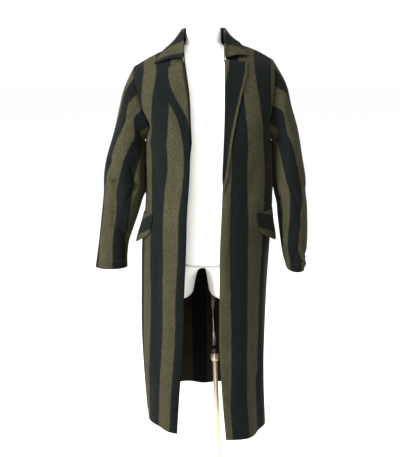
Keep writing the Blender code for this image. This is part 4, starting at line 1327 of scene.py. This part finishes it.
# %% Collar
PANEL_TREES = [faces_of(left_net), faces_of(right_net), faces_of(back_points)]
# Outward means away from a point of the body this much below the point looked at
CORE_DROP = 0.12
PANEL_NEAR = 0.03
UNDER_NEAR = 0.02
BESIDE_SHARE = 0.97


def lift(point, need):
    """Move a point out until it is at least need above every panel. A panel whose nearest point
    lies almost sideways is only beside it, not under it."""
    for again in range(3):
        for tree in PANEL_TREES:
            hit, normal, index, distance = tree.find_nearest(point)
            if hit is None or distance > PANEL_NEAR:
                continue
            if normal.dot(hit - Vector((AXIS.x, AXIS.y, hit.z - CORE_DROP))) < 0:
                normal = -normal
            above = (point - hit).dot(normal)
            beside = abs(above) < distance * BESIDE_SHARE
            if distance < need or (above < 0 and distance < UNDER_NEAR and not beside):
                point = point + normal * (need - above)
    return point


def collar_profile(row):
    base = Vector(row[0:3])
    fold = Vector(row[3:6])
    edge = Vector(row[6:9])
    out = edge - fold
    out.z = 0
    out.normalize()
    up = (fold - base).normalized()
    line = [base, base.lerp(fold, 0.5) - out * 0.0004, fold - up * 0.004]
    line.append(fold + out * 0.0008 + up * 0.0010)
    line.append(fold + out * 0.0036 + up * 0.0034)
    line.append(fold + out * 0.0072 + up * 0.0034)
    start = fold + out * 0.0106 + up * 0.0006
    for k in range(5):
        t = k / 4
        line.append(start.lerp(edge, t) + Vector((0, 0, row[9] * math.sin(math.pi * t))))
    return line


COLLAR_PROFILE_STEPS = [3, 3, 2, 2, 2, 2, 4, 4, 4, 4]
COLLAR_STRIPES_LEFT = (0.014, 0.056)
COLLAR_STRIPES_RIGHT = (-0.006, 0.040)


def make_collar(name):
    stations = [collar_profile(row) for row in COLLAR]
    steps = [count * 4 for count in COLLAR_BETWEEN]
    columns = [catmull(column, steps) for column in zip(*stations)]
    net = [catmull(line, COLLAR_PROFILE_STEPS) for line in zip(*columns)]
    leaf = sum(COLLAR_PROFILE_STEPS[:6])
    for line in net:
        for k in range(leaf, len(line)):
            line[k] = lift(line[k], CLOTH * 1.3 + LAY_GAP)
    normals = normals_of(net)
    middle = len(net) // 2
    if normals[middle][-2].y < 0:
        flip(normals)
    fold = leaf + 4
    along = run_of([line[fold] for line in net])
    cut = []
    stripe = []
    for r, line in enumerate(net):
        run = run_of(line)
        cut.append([(along[r], at) for at in run])
        one, two = COLLAR_STRIPES_LEFT if r < middle else COLLAR_STRIPES_RIGHT
        reach = along[r] if r < middle else along[-1] - along[r]
        stripe.append([(reach - one) / (two - one)] * len(line))
    thick = [[CLOTH] * len(net[0]) for line in net]
    print("collar round the fold", round(along[-1], 3))
    return cloth_shell(name, net, normals, thick, cut, stripe, (0.0005, EDGE_RIM, 0.0005, 0.0)), net


collar, collar_net = make_collar("collar_cloth")

# %% [markdown]
# The dress form is a smooth white shell: a short neck, a trunk, and two short stubs below where
# the legs would start, with no arms and no head. Its rings come from a table, it is tucked under
# the cloth where the coat rests on it, and a subdivision surface makes it smooth.

# %% Sizes of the dress form
# Columns: z, half_width, front, back
FORM = [
    (0.886, 0.156, 0.102, 0.106),
    (0.915, 0.160, 0.106, 0.114),
    (0.945, 0.161, 0.108, 0.116),
    (0.990, 0.160, 0.108, 0.112),
    (1.060, 0.148, 0.104, 0.096),
    (1.130, 0.138, 0.106, 0.088),
    (1.200, 0.142, 0.114, 0.094),
    (1.270, 0.152, 0.118, 0.102),
    (1.330, 0.164, 0.112, 0.106),
    (1.385, 0.174, 0.100, 0.102),
    (1.430, 0.182, 0.086, 0.090),
    (1.462, 0.186, 0.074, 0.076),
    (1.485, 0.182, 0.064, 0.064),
    (1.5030, 0.1580, 0.056, 0.056),
    (1.5145, 0.1340, 0.052, 0.053),
    (1.5245, 0.1110, 0.051, 0.051),
    (1.5325, 0.0890, 0.050, 0.050),
    (1.5380, 0.0680, 0.049, 0.049),
    (1.5440, 0.0545, 0.0485, 0.0485),
    (1.5560, 0.0525, 0.048, 0.048),
    (1.575, 0.0520, 0.048, 0.048),
    (1.598, 0.0510, 0.047, 0.047),
    (1.607, 0.0460, 0.042, 0.042),
    (1.611, 0.0320, 0.029, 0.029),
]
# Columns: z, half_width, half_depth, x, slope
STUB = [
    (0.762, 0.054, 0.064, 0.087, 0.14),
    (0.765, 0.062, 0.074, 0.087, 0.14),
    (0.776, 0.066, 0.080, 0.087, 0.12),
    (0.806, 0.069, 0.087, 0.086, 0.06),
    (0.845, 0.073, 0.095, 0.084, 0.0),
]
print("form rings", len(FORM), "stub rings", len(STUB))

# %% Dress form
FORM_X = 0.0045
FORM_Y = 0.004
FORM_POINTS = 32
FORM_GAP = 0.0009
FORM_NEAR = 0.012
FREE_RINGS = 8
STUB_MIDDLE = -0.002
STUB_APART = 0.082


def form_ring(z, half, front, behind):
    out = []
    for k in range(FORM_POINTS):
        turn = 2 * math.pi * k / FORM_POINTS
        c = math.cos(turn)
        s = math.sin(turn)
        wide = math.copysign(abs(c) ** 0.86, c) * half
        deep = math.copysign(abs(s) ** 0.94, s) * (behind if s > 0 else front)
        out.append(Vector((FORM_X + wide, FORM_Y + deep, z)))
    return out


def inner_face(net, normals):
    every = max(1, FINE // 2)
    rows = range(0, len(net), every)
    return faces_of([[net[r][c] - normals[r][c] * CLOTH for c in range(0, len(net[r]), every)] for r in rows])


def tuck_under(rings, trees):
    """Move points of the form in until it is clear of the cloth by FORM_GAP."""
    for again in range(14):
        for r in range(FREE_RINGS, len(rings) - 1):
            for k in range(FORM_POINTS):
                n = (k + 1) % FORM_POINTS
                corners = (rings[r][k], rings[r][n], rings[r + 1][n], rings[r + 1][k])
                spots = list(corners)
                spots += [(a + b) / 2 for a, b in zip(corners, corners[1:] + corners[:1])]
                spots.append((corners[0] + corners[2]) / 2)
                for spot in spots:
                    for tree, drop in trees:
                        hit, normal, index, distance = tree.find_nearest(spot)
                        if distance > FORM_NEAR:
                            continue
                        if normal.dot(hit - Vector((FORM_X, FORM_Y, spot.z - drop))) < 0:
                            normal = -normal
                        over = (spot - hit).dot(normal) + FORM_GAP
                        if over > 0:
                            for corner in corners:
                                corner -= normal * (over * 0.5)


def make_form(name, trees, material):
    rings = [form_ring(*row) for row in FORM]
    tuck_under(rings, trees)
    verts = []
    faces = []

    def put(point):
        verts.append(point)
        return len(verts) - 1

    def band(low, high):
        for k in range(len(low)):
            n = (k + 1) % len(low)
            faces.append([low[k], low[n], high[n], high[k]])

    layers = [[put(point) for point in ring] for ring in rings]
    for a, b in zip(layers, layers[1:]):
        band(a, b)
    faces.append(list(layers[-1]))
    low = layers[0]
    half = FORM_POINTS // 2
    quarter = FORM_POINTS // 4
    bridge = []
    for t in (0.28, 0.5, 0.72):
        place = verts[low[quarter]].lerp(verts[low[3 * quarter]], t)
        place.z += -0.006 + 0.012 * abs(t - 0.5)
        bridge.append(put(place))
    right_loop = [low[(3 * quarter + k) % FORM_POINTS] for k in range(half + 1)] + bridge
    left_loop = [low[quarter + k] for k in range(half + 1)] + bridge[::-1]
    for loop, side in ((right_loop, 1), (left_loop, -1)):
        middle = STUB_MIDDLE + side * STUB_APART
        turns = [math.atan2(verts[v].y - FORM_Y, verts[v].x - middle) for v in loop]
        for z, half_width, half_depth, x, slope in STUB[::-1]:
            ring = []
            for turn in turns:
                across = half_width * math.cos(turn)
                ring.append(put(Vector((
                    STUB_MIDDLE + side * x + across,
                    FORM_Y + half_depth * math.sin(turn), z - side * slope * across))))
            band(loop, ring)
            loop = ring
        faces.append(loop[::-1])
    return add_object(name, verts, faces, [], material)


def form_material():
    paint = Paint("white_form")
    space = paint.space()
    cloud = paint.noise(space, 6.0, 3.0)
    colour = paint.ramp(cloud, (0.80, 0.79, 0.74, 1), (0.88, 0.875, 0.84, 1), 0.3, 0.7)
    grain = paint.bump(paint.noise(space, 420.0), 0.12, 0.0004)
    return paint.finish({"Base Color": colour, "Normal": grain, "Roughness": 0.42, "Specular IOR Level": 0.4})


def keep_result(piece):
    """Make what the modifiers give into the piece's own mesh, and take the modifiers off."""
    evaluated = piece.evaluated_get(bpy.context.evaluated_depsgraph_get())
    made = bpy.data.meshes.new_from_object(evaluated)
    piece.modifiers.clear()
    piece.data = made
    print(piece.name, "faces", len(made.polygons))


PANELS = ((left_net, left_normals), (right_net, right_normals), (back_points, back_normals))
cloth_trees = [(inner_face(net, normals), CORE_DROP) for net, normals in PANELS]
cloth_trees.append((faces_of(collar_net), 0.0))
form = make_form("form_shell", cloth_trees, form_material())
smooth = form.modifiers.new("smooth_surface", "SUBSURF")
smooth.levels = 2
smooth.render_levels = 2
keep_result(form)

# %% [markdown]
# The stand: a bright rod comes down from one stub, goes through a black lock and a round knob,
# and slides into a pale pole. The foot is a plain round plate that holds the whole upright.
# All of these were turned on a lathe, so each is a profile spun round the pole's line.

# %% Stand
BASE_HIGH = 0.012
POLE_FOOT = Vector((0.0640, 0.000, 0.0))
POLE_HEAD = Vector((0.0340, 0.000, 0.7675))


def on_pole(z):
    return POLE_FOOT.lerp(POLE_HEAD, z / POLE_HEAD.z)


def turned(name, rows, material, count=64, upright_axis=True):
    verts = []
    faces = []
    for z, radius in rows:
        middle = on_pole(z) if upright_axis else Vector((0, 0, 0))
        middle.z = z
        for k in range(count):
            turn = 2 * math.pi * k / count
            verts.append(middle + Vector((radius * math.cos(turn), radius * math.sin(turn), 0)))
    for r in range(len(rows) - 1):
        for k in range(count):
            n = (k + 1) % count
            faces.append([r * count + k, r * count + n, (r + 1) * count + n, (r + 1) * count + k])
    faces.append(list(range(count))[::-1])
    faces.append([(len(rows) - 1) * count + k for k in range(count)])
    piece = add_object(name, verts, faces, [], material)
    for polygon in piece.data.polygons[-2:]:
        polygon.use_smooth = False
    return piece


def metal(name, deep, light, rough, metallic, grain_scale):
    paint = Paint(name)
    grain = paint.noise(paint.stretched(paint.space(), grain_scale), 1.0, 4.0)
    return paint.finish({
        "Base Color": paint.ramp(grain, (*deep, 1), (*light, 1), 0.3, 0.7),
        "Roughness": paint.spread(grain, 0.0, 1.0, rough * 0.8, rough * 1.25),
        "Normal": paint.bump(grain, 0.08, 0.0003), "Metallic": metallic})


bright = metal("bright_rod_metal", (0.10, 0.10, 0.09), (0.22, 0.21, 0.20), 0.20, 1.0, (900, 900, 40))
black = metal("black_lock_paint", (0.008, 0.008, 0.008), (0.02, 0.02, 0.02), 0.45, 0.0, (500, 500, 500))
pale = metal("pale_pole_brass", (0.60, 0.49, 0.33), (0.74, 0.63, 0.46), 0.34, 0.55, (800, 800, 25))
grey = metal("base_grey_paint", (0.38, 0.37, 0.35), (0.47, 0.46, 0.44), 0.42, 0.2, (300, 300, 300))

pole = turned("pole", [
    (0.0122, 0.0190), (0.0148, 0.0190), (0.0158, 0.0187), (0.0166, 0.0178), (0.0200, 0.0150),
    (0.0240, 0.0100), (0.0270, 0.0086), (0.0300, 0.0080), (0.5380, 0.0080), (0.5395, 0.0076)], pale)
knob = turned("knob", [
    (0.5398, 0.0085), (0.5420, 0.0112), (0.5440, 0.0124), (0.5465, 0.0132), (0.5495, 0.0137),
    (0.5525, 0.0138), (0.5555, 0.0136), (0.5585, 0.0130), (0.5610, 0.0121), (0.5630, 0.0108),
    (0.5645, 0.0095), (0.5655, 0.0080)], pale)
lock = turned("lock", [
    (0.5658, 0.0082), (0.5664, 0.0088), (0.5675, 0.0092), (0.5700, 0.0092), (0.5704, 0.0088),
    (0.5716, 0.0088), (0.5720, 0.0092), (0.5830, 0.0092), (0.5843, 0.0088), (0.5850, 0.0080)], black)
rod = turned("rod", [(0.5853, 0.0055), (0.7674, 0.0055)], bright)
base = turned("base", [
    (0.0000, 0.1892), (0.0006, 0.1898), (0.0030, 0.1900), (0.0072, 0.1894), (0.0092, 0.1882),
    (0.0110, 0.1858), (0.0118, 0.1835), (BASE_HIGH, 0.1800), (BASE_HIGH, 0.1500)], grey, 128, False)
print("stand pieces", 5)

# %% [markdown]
# The turned-up hem and the cuffs are caught down by small hand stitches. A short, thick thread
# repeated along a line is just what Geometry Nodes are for: the line becomes a curve, points are
# set along it at an even pitch, and one stitch is set on each point along the line's direction.

# %% Stitch nodes
STITCH_LONG = 0.0042
STITCH_THICK = 0.00045
STITCH_PITCH = 0.0072
HEM_STITCH_UP = 0.0245
HEM_STITCH_DEEP = CLOTH + 0.0009
CUFF_STITCH_UP = 0.026
CUFF_STITCH_DEEP = STITCH_THICK * 0.1


def thread_material():
    paint = Paint("rust_thread")
    twist = paint.noise(paint.space(), 900.0)
    colour = paint.ramp(twist, (0.045, 0.018, 0.010, 1), (0.120, 0.055, 0.032, 1))
    return paint.finish({"Base Color": colour, "Roughness": 0.6})


def stitch_tree(thread):
    tree = bpy.data.node_groups.new("stitches_along_a_line", "GeometryNodeTree")
    for way in ("INPUT", "OUTPUT"):
        tree.interface.new_socket("Geometry", in_out=way, socket_type="NodeSocketGeometry")
    for title in ("Pitch", "Length", "Thickness"):
        tree.interface.new_socket(title, in_out="INPUT", socket_type="NodeSocketFloat")

    def add(kind, inputs, output=0, **settings):
        return add_node(tree, kind, inputs, **settings).outputs[output]

    given = add_node(tree, "NodeGroupInput", {}).outputs
    curve = add("GeometryNodeMeshToCurve", {"Mesh": given["Geometry"]})
    spaced = add("GeometryNodeResampleCurve", {"Curve": curve, "Length": given["Pitch"]}, mode="LENGTH")
    turn = add("FunctionNodeAlignRotationToVector", {"Vector": add("GeometryNodeInputTangent", {})}, axis="Z")
    stitch = add("GeometryNodeMeshUVSphere", {"Segments": 8, "Rings": 6, "Radius": 0.5}, "Mesh")
    thickness = given["Thickness"]
    size = add("ShaderNodeCombineXYZ", {"X": thickness, "Y": thickness, "Z": given["Length"]})
    points = add("GeometryNodeInstanceOnPoints", {
        "Points": spaced, "Instance": stitch, "Rotation": turn, "Scale": size})
    real = add("GeometryNodeRealizeInstances", {"Geometry": points})
    smooth = add("GeometryNodeSetShadeSmooth", {"Geometry": real})
    painted = add("GeometryNodeSetMaterial", {"Geometry": smooth, "Material": thread})
    add_node(tree, "NodeGroupOutput", {"Geometry": painted})
    return tree


tree = stitch_tree(thread_material())
print("stitch nodes", len(tree.nodes))

# %% Stitches


def sew(name, line):
    mesh = bpy.data.meshes.new(name)
    mesh.from_pydata([tuple(p) for p in line], [(k, k + 1) for k in range(len(line) - 1)], [])
    piece = link_object(name, mesh)
    modifier = piece.modifiers.new("stitches", "NODES")
    modifier.node_group = tree
    wanted = {"Pitch": STITCH_PITCH, "Length": STITCH_LONG, "Thickness": STITCH_THICK}
    for item in tree.interface.items_tree:
        if item.in_out == "INPUT" and item.name in wanted:
            modifier[item.identifier] = wanted[item.name]
    keep_result(piece)
    return piece


def line_up(net, normals, cols, up, depth):
    """A line at a height above the net's first row and at a depth below its points."""
    line = []
    for c in cols:
        column = [row[c] for row in net]
        run = run_of(column)
        r = max(r for r in range(len(run) - 1) if run[r] <= up)
        point = column[r].lerp(column[r + 1], (up - run[r]) / (run[r + 1] - run[r]))
        line.append(point - normals[r][c] * depth)
    return line


def sew_hem(name, shaped, normals):
    cols = range(2, len(shaped[0]) - 2)
    return sew(name, line_up(shaped, normals, cols, HEM_STITCH_UP, HEM_STITCH_DEEP))


def sew_cuff(name, net, normals):
    cols = [k % SLEEVE_POINTS for k in range(SLEEVE_POINTS + 1)]
    return sew(name, line_up(net[::-1], normals[::-1], cols, CUFF_STITCH_UP, CUFF_STITCH_DEEP))


stitches = [
    sew_hem("hem_stitches_back", back_shaped, back_normals),
    sew_hem("hem_stitches_left", left_shaped, left_normals),
    sew_hem("hem_stitches_right", right_shaped, right_normals),
    sew_cuff("cuff_stitches_left", left_sleeve_net, left_sleeve_normals),
    sew_cuff("cuff_stitches_right", right_sleeve_net, right_sleeve_normals),
]

# %% [markdown]
# Every piece is tied to the frame and rides on the one body, and the solid that each cloth or stand piece
# stands for is hidden.

# %% Tie the pieces to the frame


CLOTH_PIECES = [
    (front_left, "coat_front_left", (0.27, 1.24), "hung", ["form_torso"]),
    (front_right, "coat_front_right", (0.28, 1.26), "hung", ["form_torso"]),
    (back, "coat_back", (0.58, 1.22), "hung", ["form_torso"]),
    (sleeve_left, "sleeve_left", (0.46, 0.62), "hung", ["coat_back", "coat_front_left"]),
    (sleeve_right, "sleeve_right", (0.48, 0.62), "hung", ["coat_back", "coat_front_right"]),
    (collar, "collar", (0.50, 0.15), "folded", ["coat_back"]),
    (lapel_left, "lapel_left", (0.10, 0.30), "folded", ["coat_front_left"]),
    (lapel_right, "lapel_right", (0.09, 0.40), "folded", ["coat_front_right"]),
    (flap_left, "pocket_flap_left", (0.12, 0.10), "hung", ["coat_front_left"]),
    (flap_right, "pocket_flap_right", (0.12, 0.10), "hung", ["coat_front_right"]),
]
for piece, node, flat, held, rests in CLOTH_PIECES:
    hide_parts(node)
    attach(piece, "root")
for piece, node, finish in (
        (form, "form_torso", "form_shell"), (rod, "stand_rod", "bright_metal"),
        (lock, "stand_lock", "black_metal"), (knob, "stand_knob", "pale_brass"),
        (pole, "stand_pole", "pale_brass"), (base, "stand_base", "base_metal")):
    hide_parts(node)
    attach(piece, "root")
for piece in stitches:
    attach(piece, "root")
